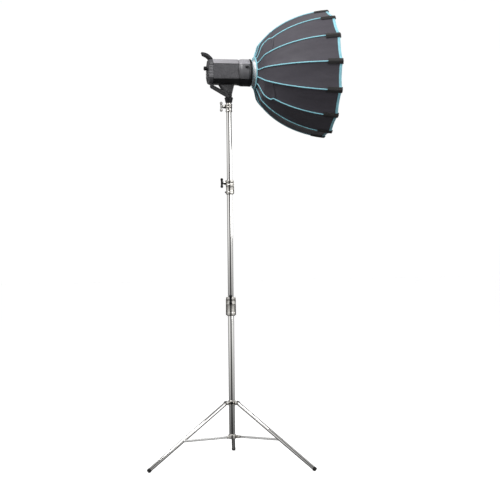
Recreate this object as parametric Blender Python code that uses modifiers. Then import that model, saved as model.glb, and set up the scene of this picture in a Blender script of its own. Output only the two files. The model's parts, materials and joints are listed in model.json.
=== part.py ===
"""LED light with a parabolic softbox on a folding steel light stand.

Metres, +Z up, the light points along +X. The whole assembly hangs on one empty, which
is moved at the end so that the middle of the footprint is at the origin, on the floor.
Every moving piece hangs on an empty that stands on its joint's axis.
"""

import math

import bmesh
import bpy
from mathutils import Vector

GAP = 0.0003  # clearance between pieces that touch

# ---- stand: tubes, from the floor up (heights above the floor, rest pose)
TUBE_WALL = 0.0007
BASE_RADIUS = 0.015
LOWER_RADIUS = 0.014
MIDDLE_RADIUS = 0.013
UPPER_RADIUS = 0.012
BASE_BOTTOM = 0.130
BASE_TOP = 0.812
LOWER_BOTTOM = 0.700
LOWER_TOP = 1.392
MIDDLE_BOTTOM = 1.105
MIDDLE_TOP = 1.776
UPPER_BOTTOM = 1.160
UPPER_TOP = 1.800
KNOB_SIDE = {"collar": 258.0, "lower": 258.0, "middle": 168.0, "upper": 168.0}  # azimuths, degrees

# ---- stand: leg linkage
LEG_AZIMUTHS = {"a": 78.0, "b": 198.0, "c": 318.0}
PIVOT_RADIUS = 0.033  # leg and brace pivots, from the column's axis
COLLAR_HEIGHT = 0.3075
HUB_HEIGHT = 0.1385
FOOT_RADIUS = 0.459
LEG_END_HEIGHT = 0.0115
LEG_TUBE_RADIUS = 0.0095
LEG_TUBE_WALL = 0.0008
FOOT_TUBE_RADIUS = 0.0111  # passes the brace when the stand is folded
BRACE_HEIGHT = 0.012
BRACE_INNER = 0.0114  # the brace runs beside its leg, from here
BRACE_OUTER = 0.0134  # to here, measured across from the leg's middle plane

# ---- head: stand socket and tilt pivot
SOCKET_BOTTOM = 1.8053
BARREL_TOP = 1.8375
TILT_PIVOT = 1.853
SPIGOT_RADIUS = 0.008  # standard 16 mm spigot
SPIGOT_TOP = 1.834
CHEEK_INNER = 0.0105
CHEEK_OUTER = 0.0175

# ---- light, measured along its axis from the column, and across it
AXIS_HEIGHT = 1.958
BODY_REAR = -0.104
PANEL_FRONT = -0.086
BODY_FRONT = 0.042
BELL_FRONT = 0.104
BODY_HALF_WIDTH = 0.0585
BODY_TOP = 0.0635
BODY_BOTTOM = -0.0605
SEAM = 0.0365
SHELL = 0.0025
BELL_RADIUS = 0.068
# name, middle (y, z), size (width, height) and how far it stands out of the rear face
REAR_CONTROLS = [
    ("display_window", (-0.014, -0.004), (0.040, 0.022), 0.0008),
    ("power_switch", (0.026, -0.034), (0.0200, 0.0140), 0.0025),
    ("power_inlet", (-0.018, -0.034), (0.0280, 0.0200), 0.0010),
]
BUTTON_PLACE = (0.026, -0.010)
DIAL_PLACE = (0.010, 0.0200)

# ---- softbox, measured the same way
RIBS = 14
FIRST_RIB = -4.3  # degrees from +Y towards +Z
RING_RADIUS = 0.0565
RING_REAR = 0.1043
FLANGE_REAR = 0.1295
FLANGE_FRONT = 0.1345
CANOPY_REAR = 0.1295
CANOPY_OPENING = 0.080
RIM = 0.503
RIB_TIP = RIM - 0.0105
CURVE_CENTRE = 0.5615  # the canopy's side is part of an ellipse about this point
CURVE_LENGTH = 0.452
CURVE_RADIUS = 0.320
CANOPY_THICKNESS = 0.002
RIB_RADIUS = 0.002
RIB_INSET = 0.0055  # from the canopy's outer curve to a rib's middle
RIB_ROOT_RADIUS = 0.0755
RIB_ROOT_SHIFT = 0.0125  # how far a rib's root stands ahead of its curve
RIM_BINDING = 0.0095  # from the canopy's front edge to the rim
DIFFUSER_RADIUS = 0.300

STEEL = ((0.62, 0.61, 0.59), 0.18, 1.0)
CAST = ((0.55, 0.54, 0.52), 0.30, 1.0)
ALUMINIUM = ((0.85, 0.85, 0.86), 0.35, 1.0)
BRACE_STEEL = ((0.80, 0.80, 0.79), 0.35, 1.0)
BLACK_PLASTIC = ((0.018, 0.018, 0.020), 0.45, 0.0)
DARK_GREY = ((0.090, 0.088, 0.095), 0.50, 0.0)
LIGHT_GREY = ((0.42, 0.41, 0.43), 0.42, 0.0)
RUBBER = ((0.012, 0.012, 0.012), 0.85, 0.0)
GLASS = ((0.020, 0.024, 0.030), 0.10, 0.0)
LED_YELLOW = ((0.75, 0.60, 0.12), 0.40, 0.0)
FABRIC = ((0.045, 0.042, 0.052), 0.90, 0.0)
CYAN = ((0.05, 0.45, 0.65), 0.80, 0.0)
WHITE_FABRIC = ((0.85, 0.85, 0.85), 0.90, 0.0)
FIBREGLASS = ((0.03, 0.03, 0.03), 0.35, 0.0)

PARTS = "softbox_light_on_stand"
CUTTERS = "cutters"


# ------------------------------------------------------------------ helpers
def clear_scene():
    for obj in list(bpy.data.objects):
        bpy.data.objects.remove(obj, do_unlink=True)
    for collection in list(bpy.data.collections):
        bpy.data.collections.remove(collection)
    for name in (PARTS, CUTTERS):
        bpy.context.scene.collection.children.link(bpy.data.collections.new(name))


def joint(name, parent, location=(0, 0, 0), rotation=(0, 0, 0)):
    """An empty on a joint's axis, or one that carries a frame to build in."""
    empty = bpy.data.objects.new(name, None)
    empty.empty_display_size = 0.02
    empty.parent = parent
    empty.location = location
    empty.rotation_euler = rotation
    bpy.data.collections[PARTS].objects.link(empty)
    return empty


def add(name, data, parent, location=(0, 0, 0), rotation=(0, 0, 0)):
    obj = bpy.data.objects.new(name, data)
    obj.parent = parent
    obj.location = location
    obj.rotation_euler = rotation
    bpy.data.collections[PARTS].objects.link(obj)
    return obj


def paint(obj, finish):
    colour, roughness, metallic = finish
    material = bpy.data.materials.new(f"{obj.name}_finish")
    material.use_nodes = True
    shader = material.node_tree.nodes["Principled BSDF"]
    shader.inputs["Base Color"].default_value = (*colour, 1.0)
    shader.inputs["Roughness"].default_value = roughness
    shader.inputs["Metallic"].default_value = metallic
    obj.data.materials.clear()
    obj.data.materials.append(material)
    if obj.type == "MESH":
        obj.data.shade_smooth()
        obj.data.set_sharp_from_angle(angle=math.radians(35))
    return obj


def mesh_from(bm, name):
    mesh = bpy.data.meshes.new(name)
    bm.to_mesh(mesh)
    bm.free()
    return mesh


def cylinder(name, parent, radius, start, end, location=(0, 0, 0), rotation=(0, 0, 0), sides=20):
    """A closed cylinder along local Z, from start to end."""
    bm = bmesh.new()
    depth = end - start
    bmesh.ops.create_cone(bm, cap_ends=True, segments=sides, radius1=radius, radius2=radius, depth=depth)
    bmesh.ops.translate(bm, verts=bm.verts, vec=(0, 0, (start + end) / 2))
    return add(name, mesh_from(bm, name), parent, location, rotation)


def box(name, parent, low, high, location=(0, 0, 0), rotation=(0, 0, 0), bevel=0.0):
    """A closed box between two corners."""
    low, high = Vector(low), Vector(high)
    bm = bmesh.new()
    bmesh.ops.create_cube(bm, size=1.0)
    bmesh.ops.scale(bm, verts=bm.verts, vec=high - low)
    bmesh.ops.translate(bm, verts=bm.verts, vec=(low + high) / 2)
    obj = add(name, mesh_from(bm, name), parent, location, rotation)
    if bevel:
        modifier = obj.modifiers.new("edges", "BEVEL")
        modifier.width = bevel
        modifier.segments = 1
    return obj


def turned(name, parent, profile, location=(0, 0, 0), rotation=(0, 0, 0), sides=24, closed=True):
    """A profile of (radius, height) points, outer side first and downwards, turned about local Z."""
    bm = bmesh.new()
    points = [bm.verts.new((radius, 0, height)) for radius, height in profile]
    pairs = list(zip(points, points[1:]))
    if closed:
        pairs.append((points[-1], points[0]))
    for pair in pairs:
        bm.edges.new(pair)
    obj = add(name, mesh_from(bm, name), parent, location, rotation)
    screw = obj.modifiers.new("turn", "SCREW")
    screw.steps = screw.render_steps = sides
    screw.use_merge_vertices = True
    screw.merge_threshold = 0.00001
    screw.use_smooth_shade = True
    return obj


def plate(name, parent, outline, start, end, holes=(), location=(0, 0, 0), rotation=(0, 0, 0)):
    """A flat outline in local XY, with round holes (x, y, radius), between two heights. Made a mesh."""
    curve = bpy.data.curves.new(name, "CURVE")
    curve.dimensions = "2D"
    curve.fill_mode = "BOTH"
    curve.extrude = (end - start) / 2
    loops = [list(outline)]
    for x, y, radius in holes:
        loops.append([(x + radius * c, y + radius * s) for c, s in ring_points(12)])
    for loop in loops:
        spline = curve.splines.new("POLY")
        spline.points.add(len(loop) - 1)
        for point, (x, y) in zip(spline.points, loop):
            point.co = (x, y, 0, 1)
        spline.use_cyclic_u = True
    guide = bpy.data.objects.new(name + "_outline", curve)
    bpy.data.collections[PARTS].objects.link(guide)
    bpy.context.view_layer.update()
    graph = bpy.context.evaluated_depsgraph_get()
    mesh = bpy.data.meshes.new_from_object(guide.evaluated_get(graph))
    bpy.data.objects.remove(guide)
    bm = bmesh.new()
    bm.from_mesh(mesh)
    bmesh.ops.remove_doubles(bm, verts=bm.verts, dist=0.00001)
    bmesh.ops.translate(bm, verts=bm.verts, vec=(0, 0, (start + end) / 2))
    bmesh.ops.recalc_face_normals(bm, faces=bm.faces)
    bm.to_mesh(mesh)
    bm.free()
    return add(name, mesh, parent, location, rotation)


def wire(name, parent, points, radius, location=(0, 0, 0), rotation=(0, 0, 0)):
    """A round rod along a list of points."""
    curve = bpy.data.curves.new(name, "CURVE")
    curve.dimensions = "3D"
    curve.bevel_depth = radius
    curve.bevel_resolution = 1
    curve.use_fill_caps = True
    spline = curve.splines.new("POLY")
    spline.points.add(len(points) - 1)
    for point, (x, y, z) in zip(spline.points, points):
        point.co = (x, y, z, 1)
    return add(name, curve, parent, location, rotation)


def ring_points(count, start=0.0, sweep=360.0):
    """Cosine and sine of evenly spaced angles. A full turn leaves out its last point, which is the first."""
    steps = count if abs(sweep) == 360.0 else count - 1
    angles = [math.radians(start + sweep * i / steps) for i in range(count)]
    return [(math.cos(angle), math.sin(angle)) for angle in angles]


def hide(helper):
    """Takes a helper out of the model. One that cuts several pieces is taken out once."""
    if not helper.hide_render:
        helper.hide_render = True
        helper.display_type = "WIRE"
        bpy.data.collections[PARTS].objects.unlink(helper)
        bpy.data.collections[CUTTERS].objects.link(helper)


def combine(obj, operation, helpers):
    for helper in helpers:
        modifier = obj.modifiers.new(helper.name, "BOOLEAN")
        modifier.operation = operation
        modifier.object = helper
        hide(helper)
    return obj


def join(obj, *helpers):
    return combine(obj, "UNION", helpers)


def cut(obj, *helpers):
    return combine(obj, "DIFFERENCE", helpers)


def radians_of(*degrees):
    return tuple(math.radians(angle) for angle in degrees)


ALONG_X = radians_of(0, 90, 0)  # local Z becomes +X
ALONG_Y = radians_of(-90, 0, 0)  # local Z becomes +Y
SIDE_VIEW = radians_of(90, 0, 0)  # local XY becomes XZ, local Z becomes -Y


# -------------------------------------------------------------------- stand
def tube(name, parent, radius, bottom, top, wall=TUBE_WALL, rotation=(0, 0, 0)):
    inner = radius - wall
    profile = [(radius, top), (radius, bottom), (inner, bottom), (inner, top)]
    return turned(name, parent, profile, rotation=rotation)


def clamp(name, parent, outer, bottom, top, seat, tube_radius, riser_radius, knob_azimuth, boss_end):
    """Cast sleeve on a tube's top end. Its upper lip guides the next tube, and a screw boss points out."""
    bore, lip, chamfer = tube_radius + GAP, riser_radius + GAP, 0.002
    profile = [
        (outer - chamfer, top), (outer, top - chamfer), (outer, bottom + chamfer), (outer - chamfer, bottom),
        (bore, bottom), (bore, seat), (lip, seat), (lip, top),
    ]
    sleeve = turned(name, parent, profile)
    middle = (seat + top) / 2
    turn = radians_of(0, 90, knob_azimuth)
    boss = cylinder(name + "_boss", parent, 0.0085, outer - 0.004, boss_end, (0, 0, middle), turn)
    spot = (0, 0, middle)
    hole = cylinder(name + "_boss_hole", parent, 0.0038, outer + 0.001, boss_end + 0.005, spot, turn, 16)
    join(sleeve, boss)
    return cut(sleeve, hole)


def wing_knob(name, parent, height, azimuth, boss_end, shank_start):
    """T-handled clamp screw, on its own joint: local Z points away from the column."""
    turn = joint(name + "_turn", parent, (0, 0, height), radians_of(0, 90, azimuth))
    knob = cylinder(name, turn, 0.0034, shank_start, boss_end + 0.008, sides=16)
    collar = cylinder(name + "_collar", turn, 0.0070, boss_end + GAP * 2, boss_end + 0.005)
    low = (-0.025, -0.0055, boss_end + 0.0045)
    bar = box(name + "_bar", turn, low, (0.025, 0.0055, boss_end + 0.0135), bevel=0.003)
    return join(knob, collar, bar)


def pivot_place(azimuth, height=0.0):
    angle = math.radians(azimuth)
    return (PIVOT_RADIUS * math.cos(angle), PIVOT_RADIUS * math.sin(angle), height)


def leg_collar(parent):
    """Sliding ring with three forked lugs, each with its hinge bolt, and a screw boss towards -Y."""
    profile = [(0.0190, 0.012), (0.0190, -0.012), (BASE_RADIUS + GAP, -0.012), (BASE_RADIUS + GAP, 0.012)]
    ring = turned("leg_collar", parent, profile)
    forks, slots, bolts = [], [], []
    for key, azimuth in LEG_AZIMUTHS.items():
        turn = radians_of(0, 0, azimuth)
        low, high = (0.0168, -0.013, -0.0085), (0.0405, 0.013, 0.0085)
        forks.append(box("fork_" + key, parent, low, high, rotation=turn))
        low, high = (0.0192, -0.0099, -0.02), (0.06, 0.0099, 0.02)
        slots.append(box("slot_" + key, parent, low, high, rotation=turn))
        spot = pivot_place(azimuth)
        bolt_turn = radians_of(-90, 0, azimuth)
        bolts.append(cylinder("bolt_" + key, parent, 0.0028, -0.0125, 0.0125, spot, bolt_turn, 12))
    join(ring, *forks)
    cut(ring, *slots)
    join(ring, *bolts)
    turn = radians_of(0, 90, KNOB_SIDE["collar"])
    boss = cylinder("collar_boss", parent, 0.0065, 0.0172, 0.0235, rotation=turn)
    hole = cylinder("collar_boss_hole", parent, 0.0034, 0.0195, 0.03, rotation=turn, sides=12)
    join(ring, boss)
    return cut(ring, hole)


def spreader_hub(parent):
    """Fixed ring at the tube's foot, with a lug and a headed pin for each brace."""
    profile = [(0.0190, 0.0115), (0.0190, -0.0105), (BASE_RADIUS + GAP, -0.0105), (BASE_RADIUS + GAP, 0.0115)]
    ring = turned("spreader_hub", parent, profile, (0, 0, HUB_HEIGHT))
    for key, azimuth in LEG_AZIMUTHS.items():
        arm = joint("hub_side_" + key, parent, (0, 0, HUB_HEIGHT), radians_of(0, 0, azimuth))
        lug = box("lug_" + key, arm, (0.0152, 0.0072, -0.0080), (0.0395, 0.0110, 0.0080))
        at_pivot = (PIVOT_RADIUS, 0, 0)
        pin = cylinder("pin_" + key, arm, 0.0024, 0.0090, 0.0155, at_pivot, ALONG_Y, 12)
        head = cylinder("pin_head_" + key, arm, 0.0045, BRACE_OUTER + 0.0004, 0.0160, at_pivot, ALONG_Y, 16)
        join(ring, lug, pin, head)
    return ring


def linkage():
    """Leg length, its angle from vertical, and the brace's length and place on the leg."""
    run = FOOT_RADIUS - PIVOT_RADIUS
    drop = COLLAR_HEIGHT - LEG_END_HEIGHT
    angle = math.atan2(run, drop)
    along = (COLLAR_HEIGHT - HUB_HEIGHT) / math.cos(angle)
    return math.hypot(run, drop), angle, along, along * math.sin(angle)


def leg(key, collar, stand, floor_cutter):
    """Leg tube with its rubber foot on the collar's hinge, and the brace on the hub's."""
    length, angle, along, brace = linkage()
    azimuth = LEG_AZIMUTHS[key]
    hinge = joint("leg_fold_" + key, collar, pivot_place(azimuth), radians_of(0, 0, azimuth))
    lean = (0, -angle, 0)
    leg_tube = tube("leg_" + key, hinge, LEG_TUBE_RADIUS, -length, 0.006, LEG_TUBE_WALL, lean)
    down = joint("leg_line_" + key, hinge, rotation=lean)
    bolt_hole = cylinder("leg_hole_" + key, down, 0.0033, -0.02, 0.02, rotation=ALONG_Y, sides=12)
    pad = cylinder("leg_pad_" + key, down, 0.0070, 0.0060, 0.0110, (0, 0, -along), ALONG_Y, 16)
    join(cut(leg_tube, bolt_hole), pad)
    paint(leg_tube, STEEL)

    bore = LEG_TUBE_RADIUS + GAP
    end, lip = -length - GAP, -length + 0.030
    outside = [(0.0106, lip), (0.0109, lip - 0.003), (FOOT_TUBE_RADIUS, end - 0.002), (0.0106, end - 0.010)]
    profile = [*outside, (0, end - 0.010), (0, end), (bore, end), (bore, lip)]
    foot = turned("foot_" + key, down, profile, sides=20)
    paint(cut(foot, floor_cutter), RUBBER)

    swing = joint("brace_fold_" + key, stand, pivot_place(azimuth, HUB_HEIGHT), radians_of(0, 0, azimuth))
    half = BRACE_HEIGHT / 2
    outline = [(half * c, half * s) for c, s in ring_points(7, 90, 180)]
    outline += [(brace + half * c, half * s) for c, s in ring_points(7, -90, 180)]
    bar = plate(
        "brace_" + key, swing, outline, -BRACE_OUTER, -BRACE_INNER, [(0, 0, 0.0029)], rotation=SIDE_VIEW
    )
    rivet = cylinder("rivet_" + key, swing, 0.0050, 0.0125, 0.0155, (brace, 0, 0), ALONG_Y, 16)
    paint(join(bar, rivet), BRACE_STEEL)


def build_stand(assembly):
    """The stand, up to the empty on its top riser that carries the head."""
    paint(tube("base_tube", assembly, BASE_RADIUS, BASE_BOTTOM, BASE_TOP), STEEL)
    paint(spreader_hub(assembly), CAST)

    collar = joint("collar_slide", assembly, (0, 0, COLLAR_HEIGHT))
    paint(leg_collar(collar), CAST)
    screw = joint("collar_knob_turn", collar, rotation=radians_of(0, 90, KNOB_SIDE["collar"]))
    knob = cylinder("collar_knob", screw, 0.0030, 0.0200, 0.0260, sides=12)
    paint(join(knob, cylinder("collar_knob_head", screw, 0.0075, 0.0240, 0.0330)), BLACK_PLASTIC)

    floor_cutter = box("below_floor", assembly, (-0.6, -0.6, -0.1), (0.6, 0.6, 0.0))
    for key in LEG_AZIMUTHS:
        leg(key, collar, assembly, floor_cutter)

    paint(clamp("lower_clamp", assembly, 0.0235, 0.742, 0.8365, BASE_TOP + GAP, BASE_RADIUS,
                LOWER_RADIUS, KNOB_SIDE["lower"], 0.0320), CAST)
    paint(wing_knob("lower_knob", assembly, 0.8244, KNOB_SIDE["lower"], 0.0320, 0.0255), CAST)

    lower = joint("riser_lower_slide", assembly)
    paint(tube("riser_lower", lower, LOWER_RADIUS, LOWER_BOTTOM, LOWER_TOP), STEEL)
    paint(clamp("middle_clamp", lower, 0.0205, 1.3485, 1.4200, LOWER_TOP + GAP, LOWER_RADIUS,
                MIDDLE_RADIUS, KNOB_SIDE["middle"], 0.0300), CAST)
    paint(wing_knob("middle_knob", lower, 1.40615, KNOB_SIDE["middle"], 0.0300, 0.0225), CAST)

    middle = joint("riser_middle_slide", lower)
    paint(tube("riser_middle", middle, MIDDLE_RADIUS, MIDDLE_BOTTOM, MIDDLE_TOP), STEEL)
    paint(clamp("upper_clamp", middle, 0.0180, 1.7600, 1.7993, MIDDLE_TOP + GAP, MIDDLE_RADIUS,
                UPPER_RADIUS, KNOB_SIDE["upper"], 0.0290), CAST)
    paint(wing_knob("upper_knob", middle, 1.7878, KNOB_SIDE["upper"], 0.0290, 0.0200), CAST)

    upper = joint("riser_upper_slide", middle)
    paint(tube("riser_upper", upper, UPPER_RADIUS, UPPER_BOTTOM, UPPER_TOP), STEEL)
    inside = UPPER_RADIUS - TUBE_WALL - GAP
    neck, flange = UPPER_TOP + GAP, SOCKET_BOTTOM - GAP * 2
    spigot = [
        (0, SPIGOT_TOP), (SPIGOT_RADIUS - 0.001, SPIGOT_TOP), (SPIGOT_RADIUS, SPIGOT_TOP - 0.001),
        (SPIGOT_RADIUS, flange), (0.0140, flange), (0.0140, neck), (inside, neck), (inside, neck - 0.024),
        (0, neck - 0.024),
    ]
    paint(turned("spigot", upper, spigot, closed=False), CAST)
    return upper


# --------------------------------------------------------------------- head
def stand_socket(pan):
    """Tapered barrel that drops over the spigot, with the tongue that the yoke pivots on."""
    bore = SPIGOT_RADIUS + GAP
    profile = [
        (0, BARREL_TOP), (0.0195, BARREL_TOP), (0.0205, BARREL_TOP - 0.002), (0.0145, SOCKET_BOTTOM),
        (bore, SOCKET_BOTTOM), (bore, SPIGOT_TOP + GAP), (0, SPIGOT_TOP + GAP),
    ]
    barrel = turned("stand_socket", pan, profile, closed=False)
    half = CHEEK_INNER - 0.0004
    tongue = box("tongue", pan, (-0.015, -half, BARREL_TOP - 0.0015), (0.015, half, TILT_PIVOT))
    crown = cylinder("tongue_crown", pan, 0.015, -half, half, (0, 0, TILT_PIVOT), ALONG_Y)
    pivot_hole = cylinder("tongue_hole", pan, 0.0055, -0.03, 0.03, (0, 0, TILT_PIVOT), ALONG_Y, 16)
    screw_hole = cylinder("socket_hole", pan, 0.0036, 0.004, 0.04, (0, 0, 1.820), ALONG_Y, 12)
    join(barrel, tongue, crown)
    return cut(barrel, pivot_hole, screw_hole)


def socket_screw(pan):
    """Thumb screw that locks the barrel to the spigot, on the far side from the tilt lever."""
    turn = joint("socket_screw_turn", pan, (0, 0, 1.820), ALONG_Y)
    shank = cylinder("socket_screw", turn, 0.0032, 0.0088, 0.0240, sides=12)
    return join(shank, cylinder("socket_screw_head", turn, 0.0088, 0.0215, 0.0340))


def tilt_plate(tilt):
    """Yoke under the light: two cheeks about the tongue, with a bridge that the lower shell sits on."""
    drop = TILT_PIVOT - AXIS_HEIGHT
    top = BODY_BOTTOM - GAP * 2 - drop
    outline = [(-0.050, top), *[(0.0150 * c, 0.0150 * s) for c, s in ring_points(11, 180, 180)], (0.026, top)]
    holes = [(0, 0, 0.0055)]
    yoke = plate("tilt_plate", tilt, outline, CHEEK_INNER, CHEEK_OUTER, holes, rotation=SIDE_VIEW)
    far = plate("far_cheek", tilt, outline, -CHEEK_OUTER, -CHEEK_INNER, holes, rotation=SIDE_VIEW)
    bridge = box("bridge", tilt, (-0.046, -0.0145, top - 0.0095), (0.022, 0.0145, top - 0.0005))
    return join(yoke, bridge, far)


def tilt_lever(tilt):
    """Locking lever with the tilt bolt that runs through cheeks and tongue."""
    swing = joint("lever_turn", tilt)
    slope = math.radians(28.9)
    reach, drop, root, tip = 0.101, 0.0150, 0.0085, 0.0062
    along = Vector((-math.cos(slope), math.sin(slope)))
    up = Vector((math.sin(slope), math.cos(slope)))
    far = along * reach - up * drop
    outline = [-up * (drop - root), -up * (drop + root), far - up * tip, far + up * tip]
    arm = plate("tilt_lever", swing, outline, 0.0215, 0.0305, rotation=SIDE_VIEW)
    hub = cylinder("lever_hub", swing, 0.0120, 0.0179, 0.0320, rotation=SIDE_VIEW)
    bolt = cylinder("tilt_bolt", swing, 0.0048, -0.0200, 0.0200, rotation=SIDE_VIEW, sides=16)
    nut = cylinder("tilt_nut", swing, 0.0090, -0.0240, -0.0179, rotation=SIDE_VIEW, sides=6)
    return join(arm, hub, bolt, nut)


# -------------------------------------------------------------------- light
def shell_outline(upper):
    """Half of the eight-sided body section, as (y, z), from the top or from the seam down."""
    if upper:
        edge = BODY_HALF_WIDTH
        return [(0.0, BODY_TOP), (0.031, BODY_TOP), (edge, SEAM + 0.0035), (edge, SEAM + GAP)]
    return [(BODY_HALF_WIDTH, SEAM), (BODY_HALF_WIDTH, -0.0370), (0.036, BODY_BOTTOM), (0.0, BODY_BOTTOM)]


def body_shell(name, light, upper):
    """Open sheet along the body, half modelled, mirrored and thickened inwards."""
    bm = bmesh.new()
    rear = [bm.verts.new((PANEL_FRONT + GAP, y, z)) for y, z in shell_outline(upper)]
    edges = [bm.edges.new(pair) for pair in zip(rear, rear[1:])]
    made = bmesh.ops.extrude_edge_only(bm, edges=edges)["geom"]
    moved = [item for item in made if isinstance(item, bmesh.types.BMVert)]
    bmesh.ops.translate(bm, verts=moved, vec=(BODY_FRONT - GAP - PANEL_FRONT - GAP, 0, 0))
    obj = add(name, mesh_from(bm, name), light)
    mirror = obj.modifiers.new("other_half", "MIRROR")
    mirror.use_axis = (False, True, False)
    mirror.merge_threshold = 0.00001
    solidify = obj.modifiers.new("wall", "SOLIDIFY")
    solidify.thickness = SHELL
    solidify.offset = -1.0
    return obj


def rear_panel(light):
    """Cup that closes the body, its sides drawn in towards the rear face, with holes for the controls."""
    half = shell_outline(True)[1:] + shell_outline(False)[1:-1]
    outline = half + [(-y, z) for y, z in reversed(half)]
    bm = bmesh.new()
    front = [bm.verts.new((PANEL_FRONT, y, z)) for y, z in outline]
    edges = [bm.edges.new(pair) for pair in zip(front, front[1:] + front[:1])]
    for x, narrow, low in ((PANEL_FRONT - 0.004, 1.0, 0.0), (BODY_REAR, 0.86, 0.006)):
        made = bmesh.ops.extrude_edge_only(bm, edges=edges)["geom"]
        edges = [item for item in made if isinstance(item, bmesh.types.BMEdge) and len(item.link_faces) == 1]
        for vertex in {vertex for edge in edges for vertex in edge.verts}:
            z = vertex.co.z
            vertex.co = (x, vertex.co.y * narrow, z + low if z < 0 else z - low / 2)
    bmesh.ops.contextual_create(bm, geom=edges)
    bmesh.ops.recalc_face_normals(bm, faces=bm.faces)
    obj = add("rear_panel", mesh_from(bm, "rear_panel"), light)
    solidify = obj.modifiers.new("wall", "SOLIDIFY")
    solidify.thickness = SHELL
    solidify.offset = -1.0
    for name, (y, z), (width, height), _ in REAR_CONTROLS:
        low = (BODY_REAR - 0.01, y - width / 2 - 0.0006, z - height / 2 - 0.0006)
        high = (BODY_REAR + 0.01, y + width / 2 + 0.0006, z + height / 2 + 0.0006)
        cut(obj, box(name + "_hole", light, low, high))
    y, z = BUTTON_PLACE
    return cut(obj, cylinder("button_hole", light, 0.0054, -0.01, 0.01, (BODY_REAR, y, z), ALONG_X, 20))


def front_bell(light):
    """Turned bell with the softbox mount's opening in front."""
    inner_rear, inner_front, mouth = 0.0600, 0.0648, 0.0500
    profile = [
        (mouth, BELL_FRONT), (BELL_RADIUS - 0.001, BELL_FRONT), (BELL_RADIUS, BELL_FRONT - 0.001),
        (BELL_RADIUS, 0.0660), (0.0635, 0.0540), (0.0635, BODY_FRONT), (inner_rear, BODY_FRONT),
        (inner_rear, 0.0560), (inner_front, 0.0680), (inner_front, BELL_FRONT - 0.003),
        (mouth, BELL_FRONT - 0.003),
    ]
    return turned("front_bell", light, profile, rotation=ALONG_X, sides=32)


def handle(light):
    """Horn-shaped carry handle that rises to the rear from the top, with room under it for the fingers."""
    root = BODY_TOP + GAP
    outline = [
        (-0.1375, 0.0960), (-0.1242, 0.0918), (-0.1125, 0.0878), (-0.1037, 0.0833), (-0.0945, 0.0755),
        (-0.0868, 0.0680), (-0.0835, root), (-0.1003, root), (-0.1045, 0.0708), (-0.1101, 0.0765),
        (-0.1190, 0.0820), (-0.1290, 0.0860),
    ]
    grip = plate("handle", light, outline, -0.026, 0.026, rotation=SIDE_VIEW)
    bevel = grip.modifiers.new("edges", "BEVEL")
    bevel.width = 0.0015
    bevel.segments = 1
    bevel.angle_limit = math.radians(50)
    return grip


def fan_outline():
    blades, root, tip = 7, 0.013, 0.034
    outline = []
    for blade in range(blades):
        start = 360.0 * blade / blades
        for turn, radius in ((0, root), (12, tip), (30, tip), (36, root)):
            angle = math.radians(start + turn)
            outline.append((radius * math.cos(angle), radius * math.sin(angle)))
    return outline


def fin_outline():
    """Comb of upright fins on a base plate, as (y, z)."""
    fins, pitch, thick, base, top = 9, 0.0095, 0.0020, -0.036, 0.036
    left = -pitch * (fins - 1) / 2 - thick / 2
    outline = [(left + pitch * (fins - 1) + thick, base), (left, base)]
    for fin in range(fins):
        start = left + pitch * fin
        outline += [(start, top), (start + thick, top)]
        if fin < fins - 1:
            outline += [(start + thick, base + 0.006), (start + pitch, base + 0.006)]
    return outline


def build_controls(light):
    for name, (y, z), (width, height), proud in REAR_CONTROLS:
        half = Vector((0, width / 2, height / 2))
        low, high = Vector((-proud, 0, 0)) - half, Vector((0.0035, 0, 0)) + half
        parent = joint(name + "_rock", light, (BODY_REAR, y, z)) if name == "power_switch" else None
        place = (0, 0, 0) if parent else (BODY_REAR, y, z)
        finish = GLASS if name == "display_window" else BLACK_PLASTIC
        paint(box(name, parent or light, low, high, place, bevel=0.0006), finish)

    y, z = BUTTON_PLACE
    press = joint("mode_button_press", light, (BODY_REAR, y, z), ALONG_X)
    paint(cylinder("mode_button", press, 0.0048, -0.0022, 0.0040, sides=20), LIGHT_GREY)

    y, z = DIAL_PLACE
    spin = joint("dial_turn", light, (BODY_REAR, y, z), ALONG_X)
    profile = [(0, -GAP), (0.0105, -GAP), (0.0105, -0.0180), (0.0095, -0.0195), (0, -0.0195)]
    paint(turned("dial", spin, profile, sides=24, closed=False), BLACK_PLASTIC)

    slide = joint("mount_lock_slide", light, (0.082, -BELL_RADIUS, 0.022))
    catch = box("mount_lock", slide, (-0.009, -0.0050, -0.0050), (0.009, 0.0015, 0.0050), bevel=0.001)
    paint(catch, BLACK_PLASTIC)


def build_light(tilt):
    light = joint("light", tilt, (0, 0, AXIS_HEIGHT - TILT_PIVOT))
    paint(body_shell("housing_top", light, True), LIGHT_GREY)
    paint(body_shell("housing_bottom", light, False), DARK_GREY)
    paint(rear_panel(light), DARK_GREY)
    build_controls(light)
    bell = front_bell(light)
    pocket = box("catch_pocket", light, (0.068, -0.080, 0.0160), (0.096, -0.0580, 0.0280))
    paint(cut(bell, pocket), DARK_GREY)
    paint(handle(light), BLACK_PLASTIC)
    sink = plate("heat_sink", light, fin_outline(), -0.020, 0.040, rotation=radians_of(90, 0, 90))
    paint(sink, ALUMINIUM)
    module = [(0, 0.0500), (0.020, 0.0500), (0.026, 0.0450), (0.026, 0.0403), (0, 0.0403)]
    paint(turned("led_module", light, module, rotation=ALONG_X, sides=24, closed=False), LED_YELLOW)
    spin = joint("fan_spin", light, (-0.045, 0, 0), ALONG_X)
    paint(plate("fan_rotor", spin, fan_outline(), -0.006, 0.006), BLACK_PLASTIC)
    return light


# ------------------------------------------------------------------ softbox
def canopy_radius(height):
    share = (CURVE_CENTRE - height) / CURVE_LENGTH
    return CURVE_RADIUS * math.sqrt(1 - share * share)


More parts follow.
